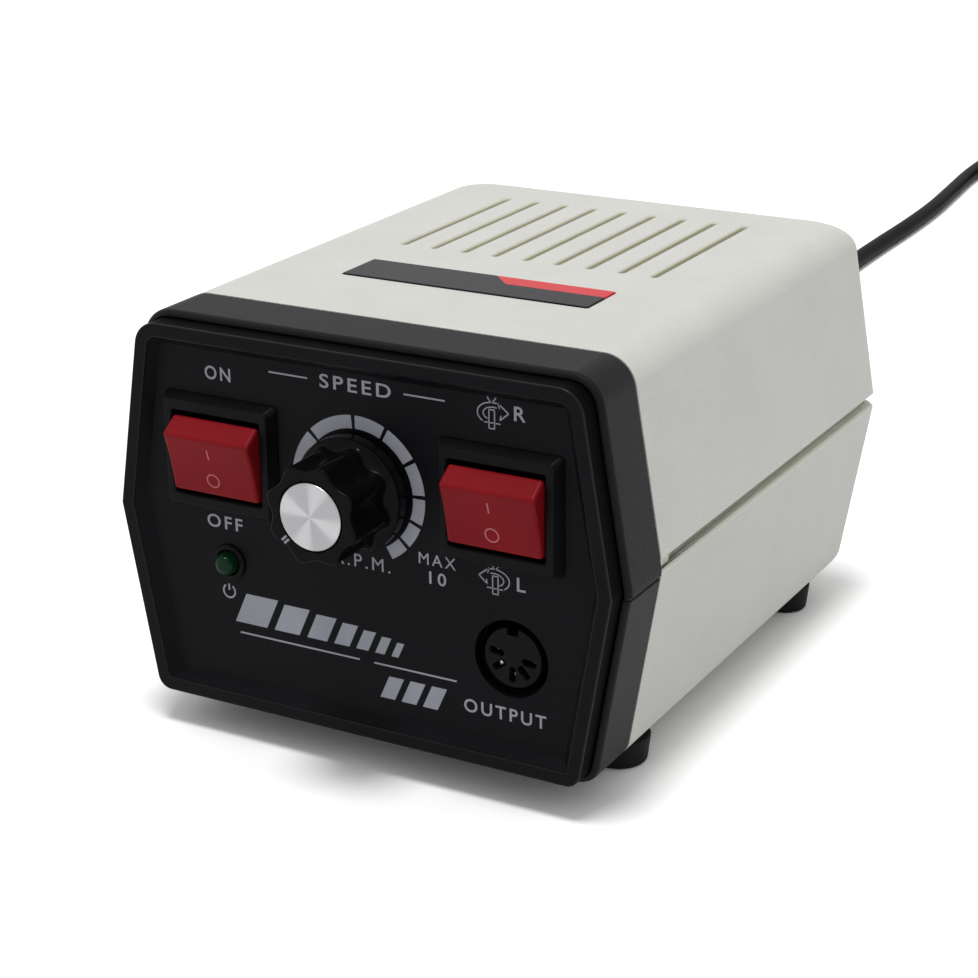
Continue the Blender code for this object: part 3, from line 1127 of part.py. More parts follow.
def make_rear_fittings(black, glass, steel, cap_look):
    centre = (FUSE_X, 0, FUSE_Z)
    flange_rear = REAR_Y + FIT + FUSE_FLANGE_THICK
    inner_end = REAR_Y - FUSE_INSIDE
    floor = inner_end + FUSE_END_WALL
    profile = [(0.0, inner_end), (FUSE_BARREL_RADIUS, inner_end), (FUSE_BARREL_RADIUS, REAR_Y + FIT)]
    profile += [(FUSE_FLANGE_RADIUS, REAR_Y + FIT), (FUSE_FLANGE_RADIUS, flange_rear)]
    profile += [(FUSE_BORE_RADIUS, flange_rear), (FUSE_BORE_RADIUS, floor), (0.0, floor)]
    solid("fuse_holder", black, turned(profile, centre))
    nut_high = REAR_INSIDE_Y - FIT
    nut_low = nut_high - FUSE_NUT_THICK
    make_nut("fuse_nut", black, FUSE_BARREL_RADIUS + FIT, FUSE_NUT_RADIUS, nut_low, nut_high, FUSE_X, FUSE_Z)
    stem = FUSE_BORE_RADIUS - FIT
    seat = flange_rear + FIT
    face = REAR_Y + CAP_STANDOUT
    edge = CAP_EDGE * 2
    stem_end = seat - FUSE_CAP_STEM
    cap = [(0.0, stem_end), (stem, stem_end), (stem, seat), (FUSE_CAP_RADIUS, seat)]
    cap += [(FUSE_CAP_RADIUS, face - edge), (FUSE_CAP_RADIUS - edge, face), (0.0, face)]
    slot = box(
        (FUSE_X - FUSE_CAP_RADIUS * FUSE_SLOT_SHARE, face - FUSE_SLOT_DEPTH, FUSE_Z - FUSE_SLOT_WIDTH / 2),
        (FUSE_X + FUSE_CAP_RADIUS * FUSE_SLOT_SHARE, face + OVERRUN, FUSE_Z + FUSE_SLOT_WIDTH / 2),
    )
    solid("fuse_cap", cap_look, turned(cap, centre), cut=[slot])
    link_start = floor + FIT
    link_length = stem_end - FIT - link_start
    link = cylinder(FUSE_LINK_RADIUS, (FUSE_X, link_start, FUSE_Z), BACK, link_length, SMALL_SIDES)
    solid("fuse_link", glass, link)
    half = JACK_BODY_SIZE / 2
    body_front = REAR_INSIDE_Y - FIT - JACK_BODY_DEPTH
    jack = prism_y(rectangle(half, half, None, JACK_X, JACK_Z), body_front, REAR_INSIDE_Y - FIT)
    barrel = prism_y(circle(JACK_BARREL_RADIUS, JACK_X, JACK_Z), body_front + OVERRUN, REAR_Y + JACK_STAND)
    bore = prism_y(
        circle(JACK_BORE_RADIUS, JACK_X, JACK_Z), REAR_Y + JACK_STAND - JACK_BORE_DEPTH, REAR_Y + JACK_STAND + OVERRUN
    )
    solid("pedal_jack", black, jack, add=[barrel], cut=[bore])
    low = REAR_Y + FIT
    bore = JACK_BARREL_RADIUS + FIT
    make_nut("pedal_jack_nut", steel, bore, JACK_NUT_RADIUS, low, low + JACK_NUT_THICK, JACK_X, JACK_Z)


def make_relief(look):
    """Tapered strain relief with grooves, its neck through the rear wall."""
    start = REAR_INSIDE_Y - FIT
    profile = [(0.0, start - RELIEF_INSIDE), (RELIEF_FLANGE_RADIUS, start - RELIEF_INSIDE)]
    profile += [(RELIEF_FLANGE_RADIUS, start), (RELIEF_NECK_RADIUS, start), (RELIEF_NECK_RADIUS, REAR_Y + FIT)]
    outer = REAR_Y + FIT
    profile += [(RELIEF_FLANGE_RADIUS, outer), (RELIEF_FLANGE_RADIUS, outer + RELIEF_FLANGE_THICK)]
    taper_start = outer + RELIEF_FLANGE_THICK
    run = REAR_Y + RELIEF_LENGTH - taper_start
    for k in range(RELIEF_RIBS):
        for share, drop in RELIEF_RIB_SHARES:
            t = (k + share) / RELIEF_RIBS
            radius = RELIEF_ROOT_RADIUS + (RELIEF_TIP_RADIUS - RELIEF_ROOT_RADIUS) * t
            profile.append((radius - drop * RELIEF_RIB_DEPTH, taper_start + run * t))
    profile += [(RELIEF_TIP_RADIUS, REAR_Y + RELIEF_LENGTH), (0.0, REAR_Y + RELIEF_LENGTH)]
    return solid("strain_relief", look, turned(profile, (CORD_X, 0, CORD_Z), sides=SMALL_SIDES + NUT_SIDES - 2))


def smooth_route(points, step):
    """Points about a step apart on one smooth curve through the route's own points."""
    path = [Vector(p) for p in points]
    path = [path[0] * 2 - path[1]] + path + [path[-1] * 2 - path[-2]]
    fine = []
    for a, b, c, d in zip(path, path[1:], path[2:], path[3:]):
        for k in range(COIL_POINTS):
            t = k / COIL_POINTS
            point = b * 2 + (c - a) * t + (a * 2 - b * 5 + c * 4 - d) * t**2 + (b * 3 - a - c * 3 + d) * t**3
            fine.append(point / 2)
    fine.append(path[-2])
    spans = [(q - p).length for p, q in zip(fine, fine[1:])]
    count = max(2, round(sum(spans) / step))
    walked = [0.0]
    for span in spans:
        walked.append(walked[-1] + span)
    places = []
    k = 0
    for i in range(count + 1):
        goal = walked[-1] * i / count
        while k < len(spans) - 1 and walked[k + 1] < goal:
            k += 1
        places.append(fine[k].lerp(fine[k + 1], (goal - walked[k]) / spans[k]))
    return places


def tube(name, look, points, resolution):
    """Round tube along points, with filled ends."""
    curve = bpy.data.curves.new(name, "CURVE")
    curve.dimensions = "3D"
    curve.bevel_depth = CORD_RADIUS
    curve.bevel_resolution = resolution
    curve.use_fill_caps = True
    line = curve.splines.new("POLY")
    line.points.add(len(points) - 1)
    for spot, point in zip(line.points, points):
        spot.co = (*point, 1)
    curve.materials.append(look)
    obj = bpy.data.objects.new(name, curve)
    bpy.context.scene.collection.objects.link(obj)
    return obj


def coil_points():
    """Centreline of the coil: in along a spiral, up half a turn, and out again on the layer above."""
    pitch = 2 * CORD_RADIUS + COIL_GAP
    low = CORD_RADIUS + COIL_LIFT
    outer = COIL_MEAN_RADIUS + pitch * COIL_LAYER_TURNS / 2
    inner = COIL_MEAN_RADIUS - pitch * COIL_LAYER_TURNS / 2
    centre = Vector((COIL_X, RIM_Y + COIL_Y, 0))
    turns = 2 * COIL_LAYER_TURNS + 0.5
    points = []
    count = round(turns * COIL_POINTS)
    for k in range(count + 1):
        turn = turns * k / count
        if turn <= COIL_LAYER_TURNS:
            radius, height = outer - pitch * turn, low
        elif turn >= COIL_LAYER_TURNS + 0.5:
            radius, height = inner + pitch * (turn - COIL_LAYER_TURNS - 0.5), low + pitch
        else:
            share = (turn - COIL_LAYER_TURNS) * 2
            radius = inner - pitch / 2 * (share - share**2)
            height = low + pitch * share**2 * (3 - 2 * share)
        angle = math.pi - math.tau * turn
        points.append(centre + Vector((radius * math.cos(angle), radius * math.sin(angle), height)))
    start = points[0] - BACK * 2 * CORD_RADIUS
    heading = (points[-1] - points[-2]).normalized()
    heading.z = 0
    side = Vector((-heading.y, heading.x, 0))
    tail = []
    for k in range(1, TAIL_POINTS + 1):
        angle = TAIL_TURN * k / TAIL_POINTS
        tail.append(points[-1] + heading * TAIL_BEND * math.sin(angle) + side * TAIL_BEND * (1 - math.cos(angle)))
    last = heading * math.cos(TAIL_TURN) + side * math.sin(TAIL_TURN)
    tail.append(tail[-1] + last * 2 * CORD_RADIUS)
    return [start] + points + tail, last


def least_self_gap(points, radius, skip):
    """Least gap between stretches of a tube that aren't neighbours, from its centreline's points."""
    least = math.inf
    for i, (a, b) in enumerate(zip(points, points[1:])):
        for c, d in zip(points[i + skip:], points[i + skip + 1:]):
            for t in (0.0, 0.25, 0.5, 0.75):
                here = a.lerp(b, t)
                span = d - c
                share = min(1.0, max(0.0, (here - c).dot(span) / span.length_squared))
                least = min(least, (here - c - span * share).length)
    return least - 2 * radius


def make_cord(look, relief_look, plug_look, pin_look, tie_look):
    make_relief(relief_look)
    coil, heading = coil_points()
    join = coil[0]
    route = [Vector((x * MM, RIM_Y + y * MM, z * MM)) for x, y, z in CORD_ROUTE]
    start = Vector((CORD_X, REAR_Y + RELIEF_LENGTH + FIT, CORD_Z))
    end = join - BACK * FIT
    route[0] = start
    route[-1] = end
    route[-2] = end - BACK * 2 * CORD_RADIUS
    lead = [start] + smooth_route(route[1:-1], CORD_STEP) + [end]
    tube("mains_cord", look, lead, 2)
    tube("cord_coil", look, coil, 1)
    length, run = (sum((q - p).length for p, q in zip(line, line[1:])) for line in (coil, lead))
    gap = least_self_gap(coil, CORD_RADIUS, COIL_POINTS // 3)
    print("coil length", round(length, 4), "lead length", round(run, 4), "least gap", round(gap, 5))
    make_tie(tie_look)
    make_plug(coil[-1] + heading * FIT, heading, plug_look, pin_look)


def make_tie(look):
    """Flat tie round the coil's turns, on the side away from the case."""
    pitch = 2 * CORD_RADIUS + COIL_GAP
    slack = FIT
    reach = pitch * COIL_LAYER_TURNS / 2 + CORD_RADIUS + slack
    outer = COIL_MEAN_RADIUS + reach
    inner = COIL_MEAN_RADIUS - reach - pitch / 4
    low = COIL_LIFT - slack
    high = COIL_LIFT + 2 * CORD_RADIUS + pitch + slack
    half_u, half_v = (outer - inner) / 2, (high - low) / 2
    u, v = RIM_Y + COIL_Y + (outer + inner) / 2, (high + low) / 2
    band = rectangle(half_u + TIE_THICK, half_v + TIE_THICK, CORD_RADIUS + TIE_THICK / 2, u, v)
    hole = rectangle(half_u, half_v, CORD_RADIUS - TIE_THICK / 2, u, v)
    low_x, high_x = COIL_X - TIE_WIDTH / 2, COIL_X + TIE_WIDTH / 2
    ring = mesh_of([[(x, a, b) for a, b in band] for x in (low_x, high_x)])
    eye = mesh_of([[(x, a, b) for a, b in hole] for x in (low_x - OVERRUN, high_x + OVERRUN)])
    solid("cord_tie", look, ring, cut=[eye])


def make_plug(start, heading, look, pin_look):
    """Two-pin plug lying flat, its back end where the cord enters."""
    half_thick = PLUG_THICK / 2
    edge = PLUG_EDGE
    waist = PLUG_LENGTH / 3
    outline = [(-PLUG_NECK_HALF, 0.0), (PLUG_NECK_HALF, 0.0), (PLUG_HALF, waist)]
    outline += [(PLUG_HALF, PLUG_LENGTH), (-PLUG_HALF, PLUG_LENGTH), (-PLUG_HALF, waist)]
    radii = [edge, edge, 2 * edge, edge, edge, 2 * edge]
    rings = []
    flat = half_thick - edge / 2
    levels = ((-half_thick, edge / 2), (-flat, 0.0), (flat, 0.0), (half_thick, edge / 2))
    for height, inset in levels:
        wide = (PLUG_HALF - inset) / PLUG_HALF
        long = (PLUG_LENGTH - 2 * inset) / PLUG_LENGTH
        rings.append([(u * wide, inset + v * long, height) for u, v in rounded(outline, radii)])
    body = mesh_of(rings)
    across = heading.cross(UP)
    frame = Matrix((across, heading, UP)).transposed().to_4x4()
    seat = Vector((start.x, start.y, half_thick))
    bmesh.ops.transform(body, matrix=Matrix.Translation(seat) @ frame, verts=body.verts)
    solid("plug_body", look, body)
    for name, side in (("left", -1), ("right", 1)):
        spot = seat + heading * (PLUG_LENGTH + FIT) + across * side * PIN_SPACING / 2
        profile = [(0.0, 0.0), (PIN_RADIUS, 0.0), (PIN_RADIUS, PIN_LENGTH - PIN_RADIUS)]
        tip = PIN_RADIUS * PIN_TIP_SHARE
        profile += [(tip, PIN_LENGTH - PIN_RADIUS + tip), (0.0, PIN_LENGTH)]
        solid(name + "_plug_pin", pin_look, turned(profile, spot, heading, SMALL_SIDES))


def main():
    clear_scene()
    case = finish("case_plastic", (0.70, 0.70, 0.66), 0.55)
    collar = finish("collar_plastic", (0.055, 0.055, 0.06), 0.6)
    panel = finish("panel_plastic", (0.012, 0.012, 0.014), 0.4)
    black = finish("black_plastic", (0.015, 0.015, 0.015), 0.35)
    red = finish("rocker_red", (0.30, 0.012, 0.02), 0.35)
    rubber = finish("rubber", (0.02, 0.02, 0.02), 0.8)
    steel = finish("zinc_steel", (0.6, 0.6, 0.58), 0.35, 1.0)
    dark_steel = finish("lamination", (0.12, 0.12, 0.13), 0.5, 0.8)
    brass = finish("brass", (0.75, 0.55, 0.25), 0.3, 1.0)
    aluminium = finish("aluminium", (0.8, 0.8, 0.82), 0.3, 1.0)
    green_lens = finish("green_lens", (0.01, 0.10, 0.03), 0.15)
    tape = finish("winding_tape", (0.75, 0.55, 0.12), 0.5)
    nylon = finish("nylon", (0.8, 0.78, 0.7), 0.5)
    board = finish("board_green", (0.02, 0.16, 0.05), 0.4)
    can = finish("can_sleeve", (0.02, 0.03, 0.12), 0.4)
    glass = finish("fuse_glass", (0.75, 0.8, 0.8), 0.1)
    plate = finish("plate_dark", (0.05, 0.05, 0.055), 0.4)
    cord = finish("cord_pvc", (0.012, 0.012, 0.012), 0.45)
    make_top_cover(case)
    make_base_shell(case)
    make_bezel("bezel_upper", collar, True)
    make_bezel("bezel_lower", collar, False)
    make_front_panel(panel)
    make_plate(plate)
    make_feet_and_screws(rubber, steel)
    for name, side in (("left", -1), ("right", 1)):
        make_switch(name + "_switch_housing", black, side)
        make_rocker(name + "_rocker", red, side)
    make_switch_base("left_switch_base", brass, -1, (-1, 1))
    make_switch_base("right_switch_base", brass, 1, (-1, 0, 1))
    make_knob(black)
    make_knob_parts(aluminium, steel)
    make_pot(dark_steel, brass, steel)
    make_lamp(black, green_lens)
    make_socket(black, black, brass)
    make_transformer(steel, dark_steel, nylon, tape, steel)
    make_board({"board": board, "can": can, "epoxy": black, "aluminium": aluminium})
    make_rear_fittings(black, glass, steel, black)
    make_cord(cord, black, cord, brass, rubber)


main()
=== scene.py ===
import math

import bmesh
import bpy
import numpy as np
from mathutils import Matrix, Vector


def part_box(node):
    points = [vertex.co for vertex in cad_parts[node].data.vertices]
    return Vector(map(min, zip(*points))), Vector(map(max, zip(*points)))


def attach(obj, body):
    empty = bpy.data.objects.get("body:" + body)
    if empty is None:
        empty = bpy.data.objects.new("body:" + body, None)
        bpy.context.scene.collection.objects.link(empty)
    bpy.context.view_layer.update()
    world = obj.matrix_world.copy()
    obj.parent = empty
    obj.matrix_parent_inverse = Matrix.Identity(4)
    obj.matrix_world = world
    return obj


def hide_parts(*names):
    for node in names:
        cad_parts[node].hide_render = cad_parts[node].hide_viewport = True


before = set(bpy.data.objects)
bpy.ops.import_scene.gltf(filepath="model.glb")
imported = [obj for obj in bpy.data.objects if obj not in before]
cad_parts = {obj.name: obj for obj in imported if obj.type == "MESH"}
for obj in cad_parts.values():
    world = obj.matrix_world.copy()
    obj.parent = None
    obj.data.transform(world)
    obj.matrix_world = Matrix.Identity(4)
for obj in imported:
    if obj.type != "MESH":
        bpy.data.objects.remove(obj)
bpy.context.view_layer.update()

mm = 0.001  # everything below is worked out in millimetres
rimY = round(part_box("front_panel")[0].y / mm, 3)  # front of the panel rim
stand = round(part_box("base_shell")[0].z / mm, 3)  # underside of the case above the table
caseRear = rimY + 145.0  # rear face of the case
print("frame loaded")


def added(name, data):
    # object in the scene that shows the data
    piece = bpy.data.objects.new(name, data)
    bpy.context.scene.collection.objects.link(piece)
    return piece


# camera: turned and raised about a point in the case, then shifted sideways in its own plane

cameraView = dict(
    azimuth=29.3135, elevation=20.4008, roll=-0.6138, distance=529.515, right=-1.0479, up=-6.7087,
    lens=85.83, nearest=0.01, target=(0.0, 60.0, 45.0),
)


def makeCamera(view):
    # the rows of its matrix are its right, up and backward directions
    azimuth, elevation, roll = (math.radians(view[key]) for key in ("azimuth", "elevation", "roll"))
    flat = math.cos(elevation)
    back = Vector((math.sin(azimuth) * flat, -math.cos(azimuth) * flat, math.sin(elevation)))
    level = Vector((math.cos(azimuth), math.sin(azimuth), 0))
    upright = back.cross(level)
    right = level * math.cos(roll) + upright * math.sin(roll)
    up = upright * math.cos(roll) - level * math.sin(roll)
    spot = Vector(view["target"]) + Vector((0, rimY, stand))
    spot += back * view["distance"] + right * view["right"] + up * view["up"]
    camera = added("camera", bpy.data.cameras.new("camera"))
    camera.matrix_world = Matrix((right, up, back)).transposed().to_4x4()
    camera.location = spot * mm
    camera.data.lens = view["lens"]
    camera.data.clip_start = view["nearest"]
    bpy.context.scene.camera = camera


makeCamera(cameraView)
print("camera placed")


class Wire:
    # a value on its way through a node tree, with the operators that the finishes use
    def __init__(self, finish, socket):
        self.finish = finish
        self.socket = socket

    def math(self, operation, first, second=0.0):
        return self.finish.node("ShaderNodeMath", {"operation": operation}, {0: first, 1: second})

    def __add__(self, other):
        return self.math("ADD", self, other)

    def __sub__(self, other):
        return self.math("SUBTRACT", self, other)

    def __mul__(self, other):
        return self.math("MULTIPLY", self, other)

    def step(self, low, high):
        # smooth step from 0 to 1 as the value goes from low to high
        limits = {0: self, 1: low, 2: high, 3: 0.0, 4: 1.0}
        return self.finish.node("ShaderNodeMapRange", {"interpolation_type": "SMOOTHSTEP"}, limits)


class Finish:
    # a material in the making; constants go straight onto the shader's own sockets
    def __init__(self, name, **constants):
        self.material = bpy.data.materials.new(name)
        self.material.use_nodes = True
        self.tree = self.material.node_tree
        self.shader = self.tree.nodes["Principled BSDF"]
        self.place = self.node("ShaderNodeTexCoord", {}, {}, "Object")
        self.set(**constants)

    def node(self, kind, settings, sockets, output=0):
        made = self.tree.nodes.new(kind)
        for key, value in settings.items():
            setattr(made, key, value)
        for key, value in sockets.items():
            self.feed(made.inputs[key], value)
        return Wire(self, made.outputs[output])

    def feed(self, socket, value):
        if isinstance(value, Wire):
            self.tree.links.new(value.socket, socket)
        elif socket.type == "RGBA":
            socket.default_value = (*value, 1)
        else:
            socket.default_value = value

    def set(self, **values):
        for key, value in values.items():
            self.feed(self.shader.inputs[key.replace("_", " ")], value)
        return self.material

    def noise(self, scale, detail=2.0, roughness=0.5, stretch=None):
        spot = self.node("ShaderNodeMapping", {}, {0: self.place, 3: stretch}) if stretch else self.place
        inputs = {"Vector": spot, "Scale": scale, "Detail": detail, "Roughness": roughness}
        return self.node("ShaderNodeTexNoise", {}, inputs)

    def blend(self, factor, first, second):
        return self.node("ShaderNodeMix", {"data_type": "RGBA"}, {0: factor, 6: first, 7: second}, 2)

    def along(self, letter):
        return self.node("ShaderNodeSeparateXYZ", {}, {0: self.place}, "XYZ".index(letter))

    def bump(self, height, distance):
        return self.node("ShaderNodeBump", {}, {"Height": height, "Distance": distance})


def moulded(name, dark, light, rough, grain, depth, shine=0.5):
    # moulded plastic: the colour goes from dark to light with broad blotches and fine grain, the roughness
    # wanders about rough with both, and the grain stands depth high
    f = Finish(name, Specular_IOR_Level=shine)
    fine = f.noise(grain, 3.0, 0.6)
    broad = f.noise(60.0, 4.0, 0.55)
    colour = f.blend(broad.step(0.32, 0.7) * 0.6 + fine.step(0.3, 0.72) * 0.4, dark, light)
    sheen = fine * 0.12 + broad * 0.1 + (rough - 0.11)
    return f.set(Base_Color=colour, Roughness=sheen, Normal=f.bump(fine, depth * mm))


def drawnMetal(name, dark, light, rough, stretch=(900.0, 60.0, 900.0)):
    # metal with fine drawn lines and dull patches
    f = Finish(name, Metallic=1.0)
    lines = f.noise(1.0, 3.0, 0.6, stretch)
    patches = f.noise(140.0, 3.0)
    colour = f.blend(patches.step(0.3, 0.7), dark, light)
    sheen = lines * 0.2 + patches * 0.12 + (rough - 0.16)
    return f.set(Base_Color=colour, Roughness=sheen, Normal=f.bump(lines, 0.01 * mm))


def layered(name, dark, light, axis, count, rough, metal=0.0):
    # stacked sheets or wound layers: thin dark lines across one axis, count to the metre
    f = Finish(name, Metallic=metal)
    place = f.along(axis) * count + f.noise(90.0) * 0.7
    wave = f.node("ShaderNodeMath", {"operation": "PINGPONG"}, {0: place, 1: 0.5})
    mottle = f.noise(400.0, 3.0)
    colour = f.blend(wave.step(0.02, 0.2) * 0.8 + mottle * 0.2, dark, light)
    return f.set(Base_Color=colour, Roughness=mottle * 0.2 + (rough - 0.1), Normal=f.bump(wave, 0.05 * mm))


# name, dark and light colour, roughness, grain to the metre, its depth in mm, strength of the reflection
plastics = dict(
    case=("caseGrainedPlastic", (0.625, 0.627, 0.588), (0.680, 0.682, 0.642), 0.5, 2200.0, 0.13, 0.3),
    # painted light: the vent walls are lighter and yellower than the case, standing for light through the
    # thin plastic
    ventWallLightened=("caseVentWallPaintedLight", (0.84, 0.83, 0.66), (0.88, 0.87, 0.70), 0.5, 1500.0, 0.05, 0.3),
    # painted light: faces in the groove are lighter and yellower than the case, offsetting the shade in the
    # groove
    groove=("caseGroovePaintedLight", (0.69, 0.69, 0.60), (0.74, 0.74, 0.65), 0.5, 2200.0, 0.05, 0.25),
    collar=("collarGrainedPlastic", (0.005, 0.005, 0.0062), (0.009, 0.009, 0.0108), 0.5, 2300.0, 0.12, 0.1),
    face=("panelSatinPlastic", (0.0030, 0.0032, 0.0042), (0.0044, 0.0047, 0.0060), 0.42, 1900.0, 0.02, 0.065),
    gloss=("panelPolishedEdge", (0.0034, 0.0036, 0.0044), (0.0046, 0.0048, 0.0058), 0.3, 2600.0, 0.004, 0.15),
    # painted shade: the rim's outward side wall, darker and duller than the panel face, for the shadow in the
    # gap behind the collar
    rimSideShade=("panelRimSidePaintedShade", (0.0009, 0.0009, 0.0012), (0.0015, 0.0015, 0.0019), 0.6, 1900.0, 0.02, 0.02),
    housing=("switchPlastic", (0.0034, 0.0035, 0.0042), (0.0050, 0.0052, 0.0062), 0.4, 2600.0, 0.01, 0.07),
    knob=("knobPolishedPlastic", (0.0022, 0.0023, 0.0027), (0.0034, 0.0035, 0.0040), 0.2, 700.0, 0.003, 0.06),
    rocker=("rockerSatinRed", (0.205, 0.0060, 0.0100), (0.250, 0.0080, 0.0130), 0.38, 2000.0, 0.014, 0.08),
    rubber=("footRubber", (0.0055, 0.0055, 0.0055), (0.010, 0.010, 0.0098), 0.7, 1100.0, 0.05, 0.15),
    black=("blackNylon", (0.0065, 0.0065, 0.0070), (0.0105, 0.0105, 0.0110), 0.4, 1500.0, 0.02, 0.2),
    cord=("cordSheath", (0.0018, 0.0018, 0.0022), (0.0034, 0.0034, 0.0039), 0.48, 900.0, 0.015, 0.04),
    nylon=("naturalNylon", (0.66, 0.63, 0.53), (0.76, 0.73, 0.64), 0.45, 1200.0, 0.02),
    sleeve=("capacitorSleeve", (0.015, 0.022, 0.09), (0.02, 0.03, 0.12), 0.3, 900.0, 0.01),
    epoxy=("mouldedEpoxy", (0.014, 0.014, 0.014), (0.022, 0.022, 0.022), 0.55, 2000.0, 0.03),
    ink=("panelInk", (0.30, 0.31, 0.355), (0.38, 0.39, 0.44), 0.5, 2600.0, 0.004, 0.2),
    paleInk=("rockerInk", (0.46, 0.13, 0.14), (0.56, 0.18, 0.18), 0.5, 3000.0, 0.004, 0.2),
)
finishes = {key: moulded(*values) for key, values in plastics.items()}
finishes.update(
    zinc=drawnMetal("zincSteel", (0.50, 0.50, 0.47), (0.66, 0.66, 0.64), 0.32),
    brass=drawnMetal("brass", (0.60, 0.42, 0.17), (0.74, 0.55, 0.26), 0.28),
    drawn=drawnMetal("drawnAluminium", (0.62, 0.62, 0.64), (0.76, 0.76, 0.78), 0.3, (60.0, 60.0, 900.0)),
    core=layered("coreLaminations", (0.04, 0.04, 0.045), (0.16, 0.16, 0.17), "Y", 1500.0, 0.5, 0.7),
    winding=layered("windingTape", (0.45, 0.30, 0.05), (0.72, 0.52, 0.12), "Z", 220.0, 0.4),
)


def boardFinish():
    # solder mask over copper tracks: tracks where a stretched noise runs high
    f = Finish("boardSolderMask")
    tracks = f.noise(160.0, 1.0, 0.4, (1.0, 3.5, 1.0)).step(0.5, 0.53)
    fine = f.noise(1200.0)
    colour = f.blend(tracks, (0.010, 0.10, 0.030), (0.03, 0.22, 0.06))
    return f.set(Base_Color=colour, Roughness=fine * 0.2 + 0.25, Normal=f.bump(tracks, 0.03 * mm))


def lensFinish(name, dark, light, **constants):
    # coloured glass or clear plastic with faint streaks
    f = Finish(name, IOR=1.5, **constants)
    streaks = f.noise(350.0, 2.0)
    colour = f.blend(streaks, dark, light)
    return f.set(Base_Color=colour, Roughness=streaks * 0.05 + 0.03, Normal=f.bump(streaks, 0.01 * mm))


def plateFinish(redFrom, redDepth, plateRear, slant):
    # dark plate with a red stripe: behind the line redDepth from its rear edge, and right of a slanted line
    # that meets the rear edge at redFrom
    f = Finish("topPlateEnamel", Specular_IOR_Level=0.1)
    blur = 0.05
    side, front = redFrom + slant * plateRear, plateRear - redDepth
    right = (f.along("X") + f.along("Y") * slant).step((side - blur) * mm, (side + blur) * mm)
    stripe = right * f.along("Y").step((front - blur) * mm, (front + blur) * mm)
    fine = f.noise(1800.0, 3.0)
    dark = f.blend(fine, (0.011, 0.011, 0.014), (0.017, 0.017, 0.021))
    red = f.blend(fine, (0.62, 0.032, 0.042), (0.72, 0.045, 0.055))
    colour = f.blend(stripe, dark, red)
    return f.set(Base_Color=colour, Roughness=fine * 0.15 + 0.32, Normal=f.bump(fine, 0.01 * mm))


finishes["board"] = boardFinish()
finishes["lens"] = lensFinish(
    "lampLens", (0.0012, 0.0165, 0.0060), (0.0024, 0.0330, 0.0115), Specular_IOR_Level=0.12
)
finishes["glass"] = lensFinish("fuseGlass", (0.75, 0.80, 0.80), (0.85, 0.88, 0.88), Transmission_Weight=0.9)
print("finishes made")


def skin(rings, loop=False, closed=True, caps=True):
    # quads between neighbouring rings of one grid: loop joins the last ring to the first, closed joins the
    # ends of each ring, and caps shut what stays open
    rings = np.asarray(rings, float)
    rows, columns = rings.shape[:2]
    i = np.arange(rows if loop else rows - 1)[:, None]
    j = np.arange(columns if closed else columns - 1)[None, :]
    below, beside = (i + 1) % rows, (j + 1) % columns
    corners = (i * columns + j, i * columns + beside, below * columns + beside, below * columns + j)
    faces = np.stack(np.broadcast_arrays(*corners), -1).reshape(-1, 4).tolist()
    if caps and not loop and closed:
        faces += [list(range(columns)), list(range((rows - 1) * columns, rows * columns))]
    if caps and loop and not closed:
        faces += [list(range(0, rows * columns, columns)), list(range(columns - 1, rows * columns, columns))]
    return rings.reshape(-1, 3), faces


def roundCorners(corners, radii, steps=8):
    # closed outline: each corner becomes an arc tangent to its two sides, and a radius of None keeps it sharp
    corners = np.asarray(corners, float)
    line = []
    for here, last, following, radius in zip(corners, np.roll(corners, 1, 0), np.roll(corners, -1, 0), radii):
        if radius is None:
            line.append(here[None])
            continue
        back = (last - here) / np.linalg.norm(last - here)
        ahead = (following - here) / np.linalg.norm(following - here)
        half = math.acos(back @ ahead) / 2
        centre = here + (back + ahead) / np.linalg.norm(back + ahead) * radius / math.sin(half)
        start = here + back * radius / math.tan(half) - centre
        sign = math.copysign(1, back[1] * ahead[0] - back[0] * ahead[1])
        turns = sign * (math.pi - 2 * half) * np.linspace(0, 1, steps + 1)
        arc = np.outer(np.cos(turns), start) + np.outer(np.sin(turns), (-start[1], start[0]))
        line.append(centre + arc)
    return np.concatenate(line)


def rectangle(halfU, halfV, radius=None, u=0.0, v=0.0, steps=6):
    # outline about (u, v) with rounded or sharp corners
    corners = [(u - halfU, v - halfV), (u + halfU, v - halfV), (u + halfU, v + halfV), (u - halfU, v + halfV)]
    return roundCorners(corners, [radius] * 4, steps)


def circle(radius, u=0.0, v=0.0, sides=48):
    # outline with corners at equal angles
    turns = np.arange(sides) / sides * math.tau
    return np.stack([u + radius * np.cos(turns), v + radius * np.sin(turns)], 1)


def spoke(turn):
    # unit vectors out along an angle, and square to it
    return np.array([math.cos(turn), math.sin(turn)]), np.array([-math.sin(turn), math.cos(turn)])


def alongY(lines, places):
    # rings of a loft: (x, z) outlines at places along y
    lines = np.asarray(lines)
    places = np.broadcast_to(np.asarray(places, float)[:, None], lines.shape[:2])
    return np.stack([lines[..., 0], places, lines[..., 1]], -1)


def alongZ(lines, places):
    # rings of a loft: (x, y) outlines at places along z
    return alongY(lines, places)[..., [0, 2, 1]]


def prismY(line, low, high):
    # solid with one outline from low to high along y
    return skin(alongY([line, line], [low, high]))


def prismZ(line, low, high):
    # solid with one outline from low to high along z
    return skin(alongZ([line, line], [low, high]))


def quarter(start, edge, steps=6):
    # places and insets that round an edge behind a face: the inset falls along a quarter circle
    turns = np.linspace(0, math.pi / 2, steps + 1)
    return list(start + edge * (1 - np.cos(turns))), list(edge * (1 - np.sin(turns)))


